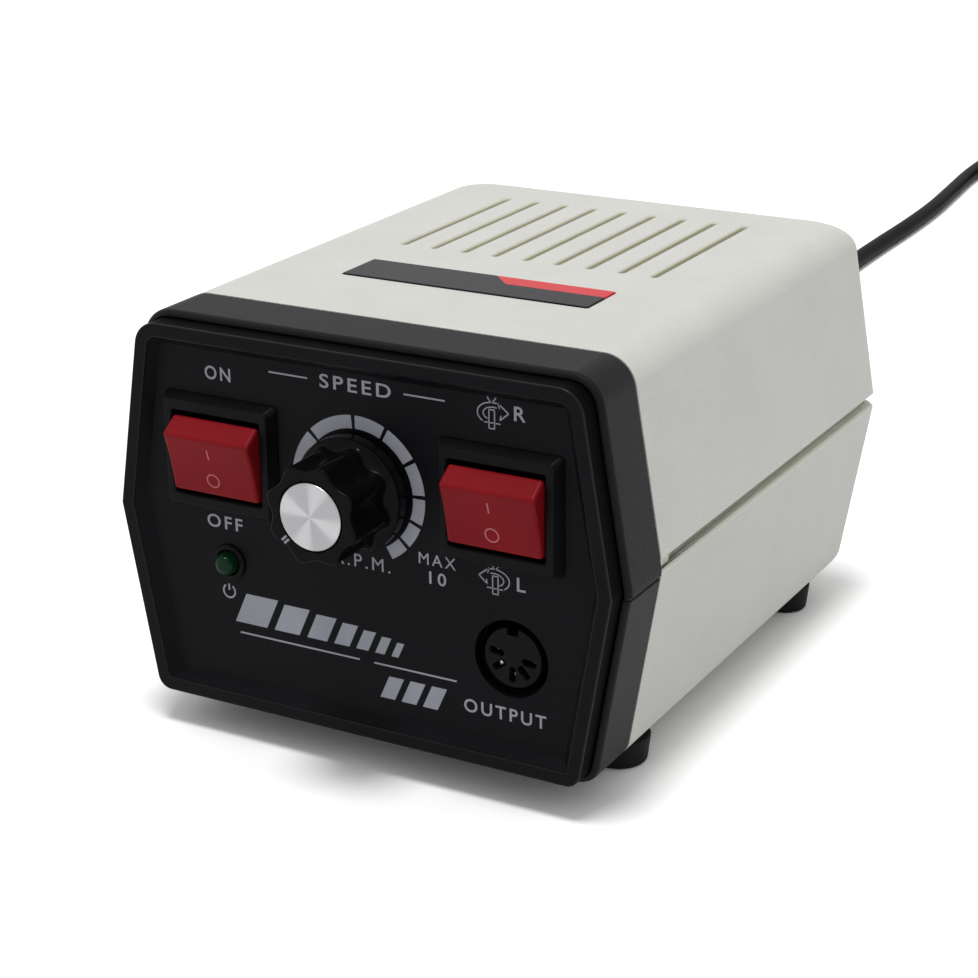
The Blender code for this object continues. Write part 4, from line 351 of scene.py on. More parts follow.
def turned(profile, centre, direction=(0, 1, 0), sides=64):
    # (radius, distance) profile turned about a line; a profile that starts and ends off it closes on itself
    profile = np.asarray(profile, float)
    axis = Vector(direction).normalized()
    first = axis.orthogonal().normalized()
    across = np.array([first, axis.cross(first)])
    turns = np.arange(sides) / sides * math.tau
    spokes = np.stack([np.cos(turns), np.sin(turns)], 1) @ across
    along = profile[:, 1, None, None] * np.array(axis)
    rings = np.array(centre, float) + along + profile[:, 0, None, None] * spokes
    return skin(rings, loop=profile[0, 0] > 0 and profile[-1, 0] > 0, caps=False)


def build(name, shapes):
    # one piece from several shapes, doubles merged and faces turned outwards
    faces, start = [], 0
    for points, own in shapes:
        faces += [[start + corner for corner in face] for face in own]
        start += len(points)
    points = np.concatenate([points for points, own in shapes]) * mm
    mesh = bpy.data.meshes.new(name)
    mesh.from_pydata(points.tolist(), [], faces)
    bm = bmesh.new()
    bm.from_mesh(mesh)
    bmesh.ops.remove_doubles(bm, verts=bm.verts, dist=1e-7)
    bmesh.ops.recalc_face_normals(bm, faces=bm.faces)
    bm.to_mesh(mesh)
    bm.free()
    return added(name, mesh)


def frozen(piece):
    # mesh of a piece as its modifiers and curves leave it
    bpy.context.view_layer.update()
    return bpy.data.meshes.new_from_object(piece.evaluated_get(bpy.context.evaluated_depsgraph_get()))


def carve(piece, operation, shapes):
    # joins, cuts or trims a piece with other closed shapes
    tool = build("tool", shapes)
    step = piece.modifiers.new(operation, "BOOLEAN")
    step.operation = operation
    step.solver = "EXACT"
    step.object = tool
    carved = frozen(piece)
    piece.modifiers.clear()
    piece.data = carved
    bpy.data.objects.remove(tool)


def dress(piece, body, look, replaced=(), edge=0.0, smooth=17, segments=3):
    # edges rounded by edge mm, flats kept flat in the shading, the finish put on, the piece hung under its
    # body, and the CAD nodes that it replaces hidden
    piece.data.materials.clear()
    piece.data.materials.append(finishes[look])
    piece.data.shade_smooth()
    piece.data.set_sharp_from_angle(angle=math.radians(smooth))
    if edge:
        bevel = piece.modifiers.new("roundedEdges", "BEVEL")
        bevel.width = edge * mm
        bevel.segments = segments
        bevel.limit_method = "ANGLE"
        bevel.angle_limit = math.radians(38)
    weighted = piece.modifiers.new("flatShading", "WEIGHTED_NORMAL")
    weighted.keep_sharp = True
    if replaced:
        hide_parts(*replaced)
    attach(piece, body)
    return piece


def faceMiddles(piece):
    # x, y and z of the middle of each face, in mm
    middles = np.zeros(len(piece.data.polygons) * 3)
    piece.data.polygons.foreach_get("center", middles)
    return middles.reshape(-1, 3).T / mm


def twoTone(piece, look, chosen):
    # a further finish on the chosen faces
    index = np.zeros(len(piece.data.polygons), np.int32)
    piece.data.polygons.foreach_get("material_index", index)
    index[chosen] = len(piece.data.materials)
    piece.data.materials.append(finishes[look])
    piece.data.polygons.foreach_set("material_index", index)


# mains cord: out of the strain relief, down to the table, back along it and into a coil behind the view

cordSizes = dict(
    radius=3.0, relief=34.0, gap=0.3, x=-35.0, z=25.0 + stand, step=4.0, coilX=-15.0, coilY=640.0,
    meanRadius=33.0, coilGap=0.7, layerTurns=3, turnPoints=48, lift=1.0,
    tailBend=34.0, tailTurn=45.0, tailPoints=10,
    route=[
        (-35.0, 179.3, 31.5), (-35.0, 185.0, 31.5), (-35.0, 192.0, 31.1), (-35.0, 203.0, 28.0),
        (-35.2, 215.0, 22.1), (-35.6, 227.0, 15.4), (-36.2, 240.0, 9.15), (-37.2, 254.0, 4.75),
        (-38.6, 270.0, 3.15), (-40.6, 292.0, 3.05), (-43.6, 320.0, 3.05), (-47.0, 352.0, 3.05),
        (-50.2, 388.0, 3.05), (-52.4, 425.0, 3.05), (-53.2, 460.0, 3.05), (-53.4, 495.0, 3.05),
        (-54.6, 528.0, 3.05), (-57.4, 560.0, 3.05), (-60.0, 588.0, 3.05), (-60.8, 610.0, 3.3),
        (-59.2, 627.0, 3.9), (-57.9, 634.0, 4.0), (-57.9, 639.4, 4.0),
    ],
)


def smoothLine(points, step):
    # cubic through the points, each tangent along its neighbours' chord, read at equal steps of its length
    ends = np.concatenate([[2 * points[0] - points[1]], points, [2 * points[-1] - points[-2]]])
    t = np.linspace(0, 1, 25)[:-1, None, None]
    a, b, c, d = ends[:-3], ends[1:-2], ends[2:-1], ends[3:]
    fine = (2 * b + (c - a) * t + (2 * a - 5 * b + 4 * c - d) * t**2 + (3 * b - a - 3 * c + d) * t**3) / 2
    fine = np.concatenate([fine.transpose(1, 0, 2).reshape(-1, 3), points[-1:]])
    walked = np.concatenate([[0], np.cumsum(np.linalg.norm(np.diff(fine, axis=0), axis=1))])
    goals = np.linspace(0, walked[-1], round(walked[-1] / step) + 1)
    return np.stack([np.interp(goals, walked, fine[:, k]) for k in range(3)], 1)


def coilLine(s):
    # turns in along a spiral, half a turn up to the next layer and out again; then a tail bends to the plug
    pitch = 2 * s["radius"] + s["coilGap"]
    low = s["radius"] + s["lift"]
    turnsIn = s["layerTurns"]
    turns = np.linspace(0, 2 * turnsIn + 0.5, round((2 * turnsIn + 0.5) * s["turnPoints"]) + 1)
    climb = np.clip((turns - turnsIn) * 2, 0, 1)
    outer = s["meanRadius"] + pitch * turnsIn / 2
    radius = outer - pitch * np.minimum(turns, turnsIn) - pitch / 2 * (climb - climb**2)
    radius += pitch * np.maximum(turns - turnsIn - 0.5, 0)
    height = low + pitch * climb**2 * (3 - 2 * climb)
    angle = math.pi - math.tau * turns
    across, back = s["coilX"] + radius * np.cos(angle), rimY + s["coilY"] + radius * np.sin(angle)
    coil = np.stack([across, back, height], 1)
    heading = coil[-1] - coil[-2]
    heading = np.array([heading[0], heading[1], 0]) / math.hypot(heading[0], heading[1])
    side = np.array([-heading[1], heading[0], 0])
    bend = np.radians(s["tailTurn"]) * np.arange(1, s["tailPoints"] + 1)[:, None] / s["tailPoints"]
    tail = coil[-1] + s["tailBend"] * (heading * np.sin(bend) + side * (1 - np.cos(bend)))
    last = heading * math.cos(bend[-1, 0]) + side * math.sin(bend[-1, 0])
    return np.concatenate([coil, tail, tail[-1:] + last * 2 * s["radius"]])


def makeCord(s):
    # route and coil as one line of points with a round sheath
    coil = coilLine(s)
    straight = np.array([0, 2 * s["radius"], 0])
    route = np.array(s["route"]) + (0, rimY, 0)
    route[0] = (s["x"], caseRear + s["relief"] + s["gap"], s["z"])
    route[-1] = coil[0] - straight
    route[-2] = route[-1] - straight
    lead = np.concatenate([route[:1], smoothLine(route[1:-1], s["step"]), route[-1:]])
    points = np.concatenate([lead, coil]) * mm
    curve = bpy.data.curves.new("mainsCord", "CURVE")
    curve.dimensions = "3D"
    curve.bevel_depth = s["radius"] * mm
    curve.bevel_resolution = 6
    curve.use_fill_caps = True
    line = curve.splines.new("POLY")
    line.points.add(len(points) - 1)
    line.points.foreach_set("co", np.c_[points, np.ones(len(points))].ravel())
    line.use_smooth = True
    curve.materials.append(finishes["cord"])
    cord = added("mainsCord", curve)
    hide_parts("mains_cord", "cord_coil")
    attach(cord, "box")


makeCord(cordSizes)


# case: two shells whose sides lean out to the parting line, with a groove between them

caseSizes = dict(
    halfMid=61.0, halfTop=53.7, halfBottom=53.4, topZ=stand + 88.0, midZ=stand + 44.5, undersideZ=stand,
    topRadius=7.2, bottomRadius=5.0, front=rimY + 20.15, rear=caseRear, rearRadius=4.6, rearEdge=7.0,
    cornerGrowth=0.5, wall=2.0, gap=0.3, grooveUp=1.75, grooveDown=1.0, upperChamfer=0.12, lowerChamfer=0.75,
    tongueStart=rimY + 26.15, tongueRise=2.0, tongueRoot=6.0, tongueWall=1.4, rootExtra=1.2,
    lugs=((1.7, 0.35, 6.4), (1.1, 0.5, 1.4)),
    footX=46.0, footPlaces=(31.5, 125.0), postRadius=4.5, boreRadius=2.2, postJoint=stand + 34.0,
    ventCount=9, ventPitch=8.0, ventWidth=1.7, ventStart=75.0, ventEnd=127.0, ventLip=0.4, ventEdge=0.12,
    plateHalf=30.4, plateDepth=13.5, plateStart=46.5, plateThick=0.6, plateCorner=0.35,
)
cs = caseSizes
grooveTop = cs["midZ"] + cs["grooveUp"]
grooveBottom = cs["midZ"] - cs["grooveDown"]
plateMiddle = rimY + cs["plateStart"] + cs["plateDepth"] / 2


def halfWidth(top, inset, z):
    # half width of the case at a height: a straight lean from the widest line, moved in square to the side
    half, end = (cs["halfTop"], cs["topZ"]) if top else (cs["halfBottom"], cs["undersideZ"])
    lean = (cs["halfMid"] - half) / abs(end - cs["midZ"])
    return cs["halfMid"] - lean * abs(z - cs["midZ"]) - inset * math.hypot(1, lean)


def halfLine(top, inset, cutZ, steps=10):
    # front view of one half with its faces moved in by inset; past the widest line the sides run straight
    # down to the cut
    sign = 1 if top else -1
    flatZ = (cs["topZ"] if top else cs["undersideZ"]) - sign * inset
    radius = max((cs["topRadius"] if top else cs["bottomRadius"]) - inset, 0.05)
    flatHalf, end = halfWidth(top, inset, flatZ), halfWidth(top, inset, cutZ)
    corners, radii = [(flatHalf, flatZ), (-flatHalf, flatZ)], [radius, radius]
    if sign * (cutZ - cs["midZ"]) < 0:
        end = halfWidth(top, inset, cs["midZ"])
        corners = [(end, cs["midZ"])] + corners + [(-end, cs["midZ"])]
        radii = [None] + radii + [None]
    return roundCorners([(end, cutZ)] + corners + [(-end, cutZ)], [None] + radii + [None], steps)


def fullLine(inset, steps=10):
    # front view of the whole case: the upper half's outline, then the lower one's the other way round
    upper, lower = halfLine(True, inset, cs["midZ"], steps), halfLine(False, inset, cs["midZ"], steps)
    return np.concatenate([upper, lower[-2:0:-1]])


def planLine(half, front, rear, radius):
    # plan of the case with its two rear corners rounded
    corners = [(-half, front), (half, front), (half, rear), (-half, rear)]
    return roundCorners(corners, [None, None, radius, radius], 10)


def caseBlock(top, inset, cutZ, front, rear):
    # half of the case as a solid: plans at the heights of its front view, each as wide as the view is there;
    # near the flat the rear is drawn in along a quarter circle while the radius of the rear corners grows
    line = halfLine(top, inset, cutZ)
    side = line[: len(line) // 2]
    edge = cs["rearEdge"] - inset
    rise = np.minimum(np.abs(side[:, 1] - side[-1, 1]), edge)
    plans = []
    for x, drawn in zip(side[:, 0], edge - np.sqrt(edge**2 - (edge - rise) ** 2)):
        radius = cs["rearRadius"] - inset + cs["cornerGrowth"] * drawn
        plans.append(planLine(x, front, rear - drawn, radius))
    return skin(alongZ(plans, side[:, 1]))


def caseHalf(name, top, cutZ, chamfer):
    # shell of one half: the outer block within its trimmed edge, less the same block moved in by the wall
    wall, past = cs["wall"], cutZ + (-1 if top else 1)
    piece = build(name, [caseBlock(top, 0.0, cutZ, cs["front"], cs["rear"])])
    carve(piece, "INTERSECT", [edgeTrim(top, cutZ, chamfer)])
    carve(piece, "DIFFERENCE", [caseBlock(top, wall, past, cs["front"] - 1, cs["rear"] - wall)])
    return piece


def edgeTrim(top, z, chamfer, reach=6.0, height=60.0):
    # everything inside a cone that starts chamfer within the case's plan at the groove and widens one to one
    half = halfWidth(top, 0, z)
    heights = np.array((0.0, chamfer + reach, height)) * (1 if top else -1) + z
    lines = []
    for inset in (chamfer, -reach, -reach):
        front, rear = cs["front"] + min(inset, 0.3), cs["rear"] - inset
        lines.append(planLine(half - inset, front, rear, cs["rearRadius"] - inset))
    return skin(alongZ(lines, heights))


def footCentres():
    # x and y of the four feet: front left, front right, rear left, rear right
    return [(x, rimY + y) for y in cs["footPlaces"] for x in (-cs["footX"], cs["footX"])]


def rods(radius, low, high, sides=32):
    # upright round rods over the four feet
    return [prismZ(circle(radius, x, y, sides), low, high) for x, y in footCentres()]


def ventShapes():
    # a row of round-ended slots that widen towards the top face
    middle, reach = rimY + (cs["ventStart"] + cs["ventEnd"]) / 2, (cs["ventEnd"] - cs["ventStart"]) / 2
    half, lip, edge, above = cs["ventWidth"] / 2, cs["ventLip"], cs["ventEdge"], 0.2
    heights = cs["topZ"] + np.array((-cs["wall"] - 1, -lip, -edge, above))
    vents = []
    for k in range(cs["ventCount"]):
        x = (k - (cs["ventCount"] - 1) / 2) * cs["ventPitch"]
        lines = [
            rectangle(half + grow, reach + grow, half + grow - 0.02, x, middle)
            for grow in (0.0, 0.0, edge, lip + above)
        ]
        vents.append(skin(alongZ(lines, heights)))
    return vents


def makeTopCover():
    # posts, vents and the plate's seat; the walls of the vents are coloured lighter and yellower than the
    # case, painted light standing for light through the thin plastic
    wall, topZ, gap = cs["wall"], cs["topZ"], cs["gap"]
    cover = caseHalf("topCover", True, grooveTop, cs["upperChamfer"])
    carve(cover, "UNION", rods(cs["postRadius"], cs["postJoint"] + gap, topZ - wall / 2))
    carve(cover, "DIFFERENCE", ventShapes())
    half, deep = cs["plateHalf"] + gap, cs["plateDepth"] / 2 + gap
    seat = rectangle(half, deep, cs["plateCorner"] + gap, 0.0, plateMiddle)
    carve(cover, "DIFFERENCE", [prismZ(seat, topZ - cs["plateThick"], topZ + 1)])
    dress(cover, "box", "case", ["top_cover"])
    x, y, z = faceMiddles(cover)
    inRow = np.abs(x) < cs["ventCount"] / 2 * cs["ventPitch"]
    inRow &= (y > rimY + cs["ventStart"] - 1) & (y < rimY + cs["ventEnd"] + 1)
    # painted light: lighter, yellower colour on the walls of the vents
    twoTone(cover, "ventWallLightened", inRow & (z < topZ - 0.08) & (z > topZ - wall))


def makeBaseShell(holes):
    # tongue, lugs, posts and bores; holes are the round openings (x, z, radius) in the rear
    wall, gap = cs["wall"], cs["gap"]
    shell = caseHalf("baseShell", False, grooveBottom, cs["lowerChamfer"])
    # tongue that closes the groove from within, on a wider root
    tongueTop, low = grooveTop + cs["tongueRise"], grooveBottom - cs["tongueRoot"]
    half, front = halfWidth(True, wall, tongueTop) - gap, cs["tongueStart"]
    back, radius = cs["rear"] - wall - gap, cs["rearRadius"] - wall - gap
    extra, thick = cs["rootExtra"], cs["tongueWall"]
    root = planLine(half + extra, front, back + extra, radius + extra)
    hollow = planLine(half - thick, front - 1, back - thick, radius - thick)
    carve(shell, "UNION", [prismZ(root, low, grooveBottom - gap)])
    carve(shell, "UNION", [prismZ(planLine(half, front, back, radius), low + gap, tongueTop)])
    # small lugs at the front end of the groove
    lugs = []
    for side in (-1, 1):
        for inset, thin, long in cs["lugs"]:
            x, y = side * halfWidth(True, inset, grooveTop), cs["front"] + long / 2
            lugs.append(prismZ(rectangle(thin, long / 2, 0.1, x, y), grooveBottom - 1, grooveTop - 0.15))
    carve(shell, "UNION", lugs)
    carve(shell, "DIFFERENCE", [prismZ(hollow, low - 1, tongueTop + 1)])
    carve(shell, "UNION", rods(cs["postRadius"], cs["undersideZ"] + wall / 2, cs["postJoint"]))
    bores = rods(cs["boreRadius"], cs["undersideZ"] - 1, cs["postJoint"] + 1, 24)
    bores += [prismY(circle(hole, x, z), cs["rear"] - 4, cs["rear"] + 1) for x, z, hole in holes]
    carve(shell, "DIFFERENCE", bores)
    dress(shell, "box", "case", ["base_shell"])
    # painted light: the base shell's faces from the chamfer up, in the groove, lighter and yellower to offset
    # its shade
    twoTone(shell, "groove", faceMiddles(shell)[2] > grooveBottom - cs["lowerChamfer"] - 0.05)


makeTopCover()
makeBaseShell([(27.0, stand + 26.0, 6.3), (2.0, stand + 26.0, 4.9), (-35.0, stand + 25.0, 5.3)])
print("case shells made")


# collar in two halves, and the panel moulding that it holds

frontSizes = dict(
    collarFront=rimY + 5.2, collarRear=rimY + 19.85, collarEdge=1.3, collarWall=1.5, step=rimY + 14.0,
    flange=4.0, tongue=6.0, seamZ=stand + 42.6, seamGap=0.15, seamLip=0.35,
    panelInset=1.6, panelEdge=0.4, panelRear=rimY + 13.7, rimWidth=3.1, rimLip=0.45, recess=2.8, slope=1.9,
    plate=2.5, skirt=2.0, tabX=44.0, tabHeights=(stand + 11.0, stand + 79.0), tabHalf=4.0, tabThick=2.0,
    screwRadius=1.55,
)
fs = frontSizes
faceY = rimY + fs["recess"]
backY = faceY + fs["plate"]


def makeCollar(name, top, node):
    # one closed profile of (inset, place) carried along the half outline, its seam ends chamfered
    sign = 1 if top else -1
    places, insets = quarter(fs["collarFront"], fs["collarEdge"], 8)
    rear, inner = fs["collarRear"], cs["wall"] + cs["gap"]
    places += [rear - 0.25, rear, rear, rear + fs["tongue"], rear + fs["tongue"], fs["step"], fs["step"]]
    insets += [0.0, 0.2, inner, inner, fs["flange"], fs["flange"], fs["collarWall"]]
    lip = fs["seamLip"]
    lines = []
    for inset in insets:
        line = halfLine(top, inset, fs["seamZ"] + fs["seamGap"] * sign)
        ends = line[[0, -1]] + (0, lip * sign)
        drawn = lip * (1 - min(inset, fs["collarEdge"]) / fs["collarEdge"])
        line[0, 0] -= drawn
        line[-1, 0] += drawn
        lines.append(np.concatenate([line[:1], ends[:1], line[1:-1], ends[1:], line[-1:]]))
    collar = build(name, [skin(alongY(lines, places), loop=True, closed=False)])
    tabs, holes = [], []
    z = fs["tabHeights"][1 if top else 0]
    reach = halfWidth(top, fs["flange"] - 1.0, z)
    for x in (-fs["tabX"], fs["tabX"]):
        low, high = sorted((x - math.copysign(fs["tabHalf"], x), math.copysign(reach, x)))
        tab = rectangle((high - low) / 2, fs["tabHalf"], None, (high + low) / 2, z)
        tabs.append(prismY(tab, fs["step"], fs["step"] + fs["tabThick"]))
        holes.append(prismY(circle(fs["screwRadius"], x, z, 20), fs["step"] - 1, fs["step"] + 8))
    carve(collar, "UNION", tabs)
    carve(collar, "DIFFERENCE", holes)
    dress(collar, "box", "collar", [node])


def makePanel(openings):
    # outlines drawn in step by step: skirt, rounded rim edge, rim, slope and face, then cut by the openings
    inset, rimEnd = fs["panelInset"], fs["panelInset"] + fs["rimWidth"]
    outerPlaces, outerInsets = quarter(rimY, fs["panelEdge"], 6)
    lipPlaces, lipInsets = quarter(rimY, fs["rimLip"], 5)
    slopeEnd = rimEnd + fs["slope"]
    places = [backY, fs["panelRear"], fs["panelRear"]] + outerPlaces[::-1]
    insets = [inset + fs["skirt"], inset + fs["skirt"], inset] + [inset + some for some in outerInsets[::-1]]
    places += lipPlaces + [faceY - 0.25, faceY - 0.07, faceY]
    insets += [rimEnd - some for some in lipInsets] + [slopeEnd - 0.3, slopeEnd - 0.05, slopeEnd + 0.2]
    panel = build("frontPanel", [skin(alongY([fullLine(some) for some in insets], places))])
    carve(panel, "DIFFERENCE", [prismY(line, rimY - 1, backY + 1) for line in openings])
    dress(panel, "box", "face", ["front_panel"])
    normals = np.zeros(len(panel.data.polygons) * 3)
    panel.data.polygons.foreach_get("normal", normals)
    across, along, up = normals.reshape(-1, 3).T
    x, y, z = faceMiddles(panel)
    outward = across * x + up * (z - cs["midZ"]) > 0
    twoTone(panel, "gloss", (np.abs(along) < 0.97) & (np.abs(along) > 0.1) & (y < rimY + 0.5))
    # painted shade: the rim's outward side walls, in the gap behind the collar, darker and duller than the
    # face
    twoTone(panel, "rimSideShade", (np.abs(along) < 0.1) & (y < rimY + 14) & outward)


controlSizes = dict(
    knobZ=stand + 56.6016, switchX=33.5988, switchZ=stand + 58.5992, ledX=-33.3, ledZ=stand + 34.3,
    socketX=35.6, socketZ=stand + 26.0, shaftHole=4.8, ledHole=3.8, socketHole=8.5, switchHole=(12.75, 10.9),
)
ct = controlSizes

makeCollar("collarUpper", True, "bezel_upper")
makeCollar("collarLower", False, "bezel_lower")
makePanel([
    circle(ct["shaftHole"], 0, ct["knobZ"]),
    circle(ct["ledHole"], ct["ledX"], ct["ledZ"]),
    circle(ct["socketHole"], ct["socketX"], ct["socketZ"], 96),
    rectangle(*ct["switchHole"], None, -ct["switchX"], ct["switchZ"]),
    rectangle(*ct["switchHole"], None, ct["switchX"], ct["switchZ"]),
])
print("collar and panel made")


# switches: a drafted housing round a well, and a rocker whose lower end is pressed

switchSizes = dict(
    flangeU=13.1, flangeV=11.8, stand=2.6, draft=1.1, edge=0.45, wellU=11.15, wellV=9.295, wellEdge=0.3,
    bodyU=12.45, bodyV=10.595, depth=14.5, pivot=rimY + 3.6, wellDepth=5.2,
    rockerHalf=10.75, faceHalf=6.9, faceRise=6.0, heelHalf=8.9, heelRise=0.9, noseHalf=3.0, noseDrop=3.0,
    dish=0.35, tilt=14.0, rounding=0.75, markSink=0.05, markRise=0.02, lineWidth=0.32,
    ringRadius=1.5, ringUp=-3.3, lineEnds=(1.9, 4.4),
)
sw = switchSizes


def makeHousing(name, side, node):
    # outlines of (half width, half height, corner radius, place): up the well, over the front, down the body
    x, z = side * ct["switchX"], ct["switchZ"]
    u, v, face, edge = sw["wellU"], sw["wellV"], faceY - sw["stand"], sw["wellEdge"]
    steps = [(u, v, 0.4, sw["pivot"] + sw["wellDepth"]), (u, v, 0.4, face + edge)]
    steps += [(u + edge, v + edge, 0.6, face)]
    u, v, draft = sw["flangeU"], sw["flangeV"], sw["draft"]
    places, insets = quarter(face, sw["edge"], 5)
    steps += [(u - inset, v - inset, 1.0 - inset * 0.5, place) for place, inset in zip(places, insets)]
    steps += [(u + draft, v + draft, 1.2, faceY - 0.3)]
    steps += [(sw["bodyU"], sw["bodyV"], 0.2, place) for place in (faceY - 0.3, faceY + sw["depth"])]
    rings = alongY([rectangle(u, v, r, x, z, 5) for u, v, r, y in steps], [y for u, v, r, y in steps])
    dress(build(name, [skin(rings)]), "box", "housing", [node])


def rockerPlace(side, across, up, rise):
    # from the rocker's own width, height and rise to the frame: tipped about its pivot, then moved to it
    tilt = math.radians(sw["tilt"])
    across, up, rise = np.broadcast_arrays(across, up, rise)
    y = -rise * math.cos(tilt) - up * math.sin(tilt)
    z = up * math.cos(tilt) - rise * math.sin(tilt)
    return np.stack([side * ct["switchX"] + across, sw["pivot"] + y, ct["switchZ"] + z], -1)


def dished(up):
    # rise of the rocker's face: a parabola that is lowest at its middle
    return sw["faceRise"] - sw["dish"] * (1 - (up / sw["faceHalf"]) ** 2)


def makeRocker(name, side, body, node):
    # wedge with a shallow dished face, carried across its width, its edges rounded afterwards
    up = np.linspace(sw["faceHalf"], -sw["faceHalf"], 15)
    heel, rise, nose, drop = sw["heelHalf"], sw["heelRise"], sw["noseHalf"], sw["noseDrop"]
    profile = [(-heel, rise), (-nose, -drop), (nose, -drop), (heel, rise)]
    profile = np.concatenate([profile, np.stack([up, dished(up)], 1)])
    half = sw["rockerHalf"]
    rings = np.stack([rockerPlace(side, x, profile[:, 0], profile[:, 1]) for x in (-half, half)])
    piece = build(name, [skin(rings)])
    dress(piece, body, "rocker", [node], edge=sw["rounding"], smooth=30, segments=5)


def band(path, width, low, high, closed=False):
    # flat band along a line in a plane: four corners at each point, half the width to either side of it and
    # between two heights
    path = np.asarray(path, float)
    steps = np.roll(path, -1, 0) - np.roll(path, 1, 0) if closed else np.gradient(path, axis=0)
    side = np.stack([-steps[:, 1], steps[:, 0]], 1) / np.linalg.norm(steps, axis=1)[:, None] * width / 2
    corners = ((-1, low), (1, low), (1, high), (-1, high))
    return np.stack([np.c_[path + s * side, np.full(len(path), height)] for s, height in corners], 1)


def makeRockerMarks(name, side, body):
    # a ring on the lower end and a bar on the upper one, laid on the dished face
    ring = circle(sw["ringRadius"], 0, sw["ringUp"], 40)
    line = np.stack([np.zeros(5), np.linspace(*sw["lineEnds"], 5)], 1)
    shapes = []
    for path, closed in ((ring, True), (line, False)):
        rings = band(path, sw["lineWidth"], -sw["markSink"], sw["markRise"], closed)
        across, up, rise = rings[..., 0], rings[..., 1], rings[..., 2]
        shapes.append(skin(rockerPlace(side, across, up, dished(up) + rise), loop=closed))
    dress(build(name, shapes), body, "paleInk")


for sideName, side, body in (("left", -1, "left_switch_key"), ("right", 1, "right_switch_key")):
    makeHousing(sideName + "SwitchHousing", side, sideName + "_switch_housing")
    makeRocker(sideName + "Rocker", side, body, sideName + "_rocker")
    makeRockerMarks(sideName + "RockerMarks", side, body)
print("switches made")


# speed knob with eight scallops, a spun cap and a double pointer line

knobSizes = dict(
    front=rimY - 15.1, capFace=rimY - 15.35, rear=faceY - 1.5, frontRadius=10.35, frontEdge=0.45,
    bodyRadius=10.9, skirtRadius=12.5, skirt=3.0, flare=2.5, hollowRadius=8.0, hollow=4.3,
    boreRadius=3.3, boreEnd=rimY - 12.7, hubRadius=5.0, lobes=8, crestTurn=16.5, scallop=1.45,
    seat=7.5, capRadius=7.2, capEdge=0.35, capThick=1.4, capRings=42, capDepth=0.012,
    pointerTurn=-133.5, pointerEnds=(7.75, 9.3), pointerShift=0.42, pointerWidth=0.5, pointerRise=0.03,
)
kn = knobSizes


def lobedRing(radius, depth, place, sides=192):
    # circle drawn in between the lobes: full depth where the cosine of eight times the angle is lowest
    turns = np.arange(sides) / sides * math.tau
    crest = math.radians(90 - kn["crestTurn"])
    wave = (0.5 + 0.5 * np.cos((turns - crest) * kn["lobes"])) ** 1.2
    reach = radius - depth * (1 - wave)
    return np.stack([reach * np.cos(turns), np.full(sides, place), ct["knobZ"] + reach * np.sin(turns)], 1)


def makeKnob():
    # rings of (radius, scallop depth, place): cap seat, front edge, body, flare to the skirt, rear and bore
    front, rear, seat = kn["front"], kn["rear"], kn["seat"]
    depth, edge, flare = kn["scallop"], kn["frontEdge"], kn["flare"]
    body, wide, skirt = kn["bodyRadius"], kn["skirtRadius"], rear - kn["skirt"]
    floor = kn["capFace"] + kn["capThick"] + 0.3
    stations = [(kn["hubRadius"], 0, floor), (seat, 0, floor), (seat, 0, front + 0.1), (seat + 0.1, 0, front)]
    for t in np.linspace(0, math.pi / 2, 6):
        place = front + edge * (1 - math.cos(t))
        stations.append((kn["frontRadius"] + edge * math.sin(t), depth * 0.95, place))
    stations.append((body, depth, skirt - flare))
    for t in np.linspace(0, math.pi / 2, 7)[1:]:
        radius = body + (wide - 0.5 - body) * (1 - math.cos(t))
        stations.append((radius, depth * math.cos(t), skirt - flare + flare * math.sin(t)))
    plain = [(wide - 0.15, skirt + 0.15), (wide, skirt + 0.5), (wide, rear - 0.2), (wide - 0.2, rear)]
    plain += [(kn["hollowRadius"], rear), (kn["hollowRadius"], rear - kn["hollow"])]
    plain += [(kn["boreRadius"], rear - kn["hollow"]), (kn["boreRadius"], kn["boreEnd"])]
    plain += [(kn["hubRadius"], kn["boreEnd"])]
    stations += [(radius, 0, place) for radius, place in plain]
    rings = np.stack([lobedRing(*station) for station in stations])
    knob = build("speedKnob", [skin(rings, loop=True)])
    dress(knob, "knob", "knob", ["speed_knob"], smooth=40)


def makeCap():
    # disc whose face carries fine turned grooves: height follows a cosine of the radius
    face, edge, rear = kn["capFace"], kn["capEdge"], kn["capFace"] + kn["capThick"]
    flat = kn["capRadius"] - edge
    radii = np.linspace(0, flat, kn["capRings"] * 4 + 1)
    heights = face + 0.02 + kn["capDepth"] * np.cos(radii / flat * math.tau * kn["capRings"])
    profile = list(zip(radii, heights))
    for t in np.linspace(0, math.pi / 2, 5)[1:]:
        profile.append((flat + edge * math.sin(t), face + edge * (1 - math.cos(t))))
    profile += [(kn["capRadius"], rear), (0.0, rear)]
    cap = build("knobCap", [turned(profile, (0, 0, ct["knobZ"]), sides=96)])
    dress(cap, "knob", "spun", ["knob_cap"], smooth=60)


def makePointer():
    # two short bars side by side near the knob's edge
    turn = math.radians(90 - kn["pointerTurn"])
    out, side = spoke(turn)
    shapes = []
    for shift in (-kn["pointerShift"], kn["pointerShift"]):
        path = out * np.linspace(*kn["pointerEnds"], 6)[:, None] + side * shift + (0, ct["knobZ"])
        rings = band(path, kn["pointerWidth"], -kn["pointerRise"], kn["pointerRise"])
        shapes.append(skin(np.stack([rings[..., 0], kn["front"] - rings[..., 2], rings[..., 1]], -1)))
    dress(build("knobPointer", shapes), "knob", "ink")


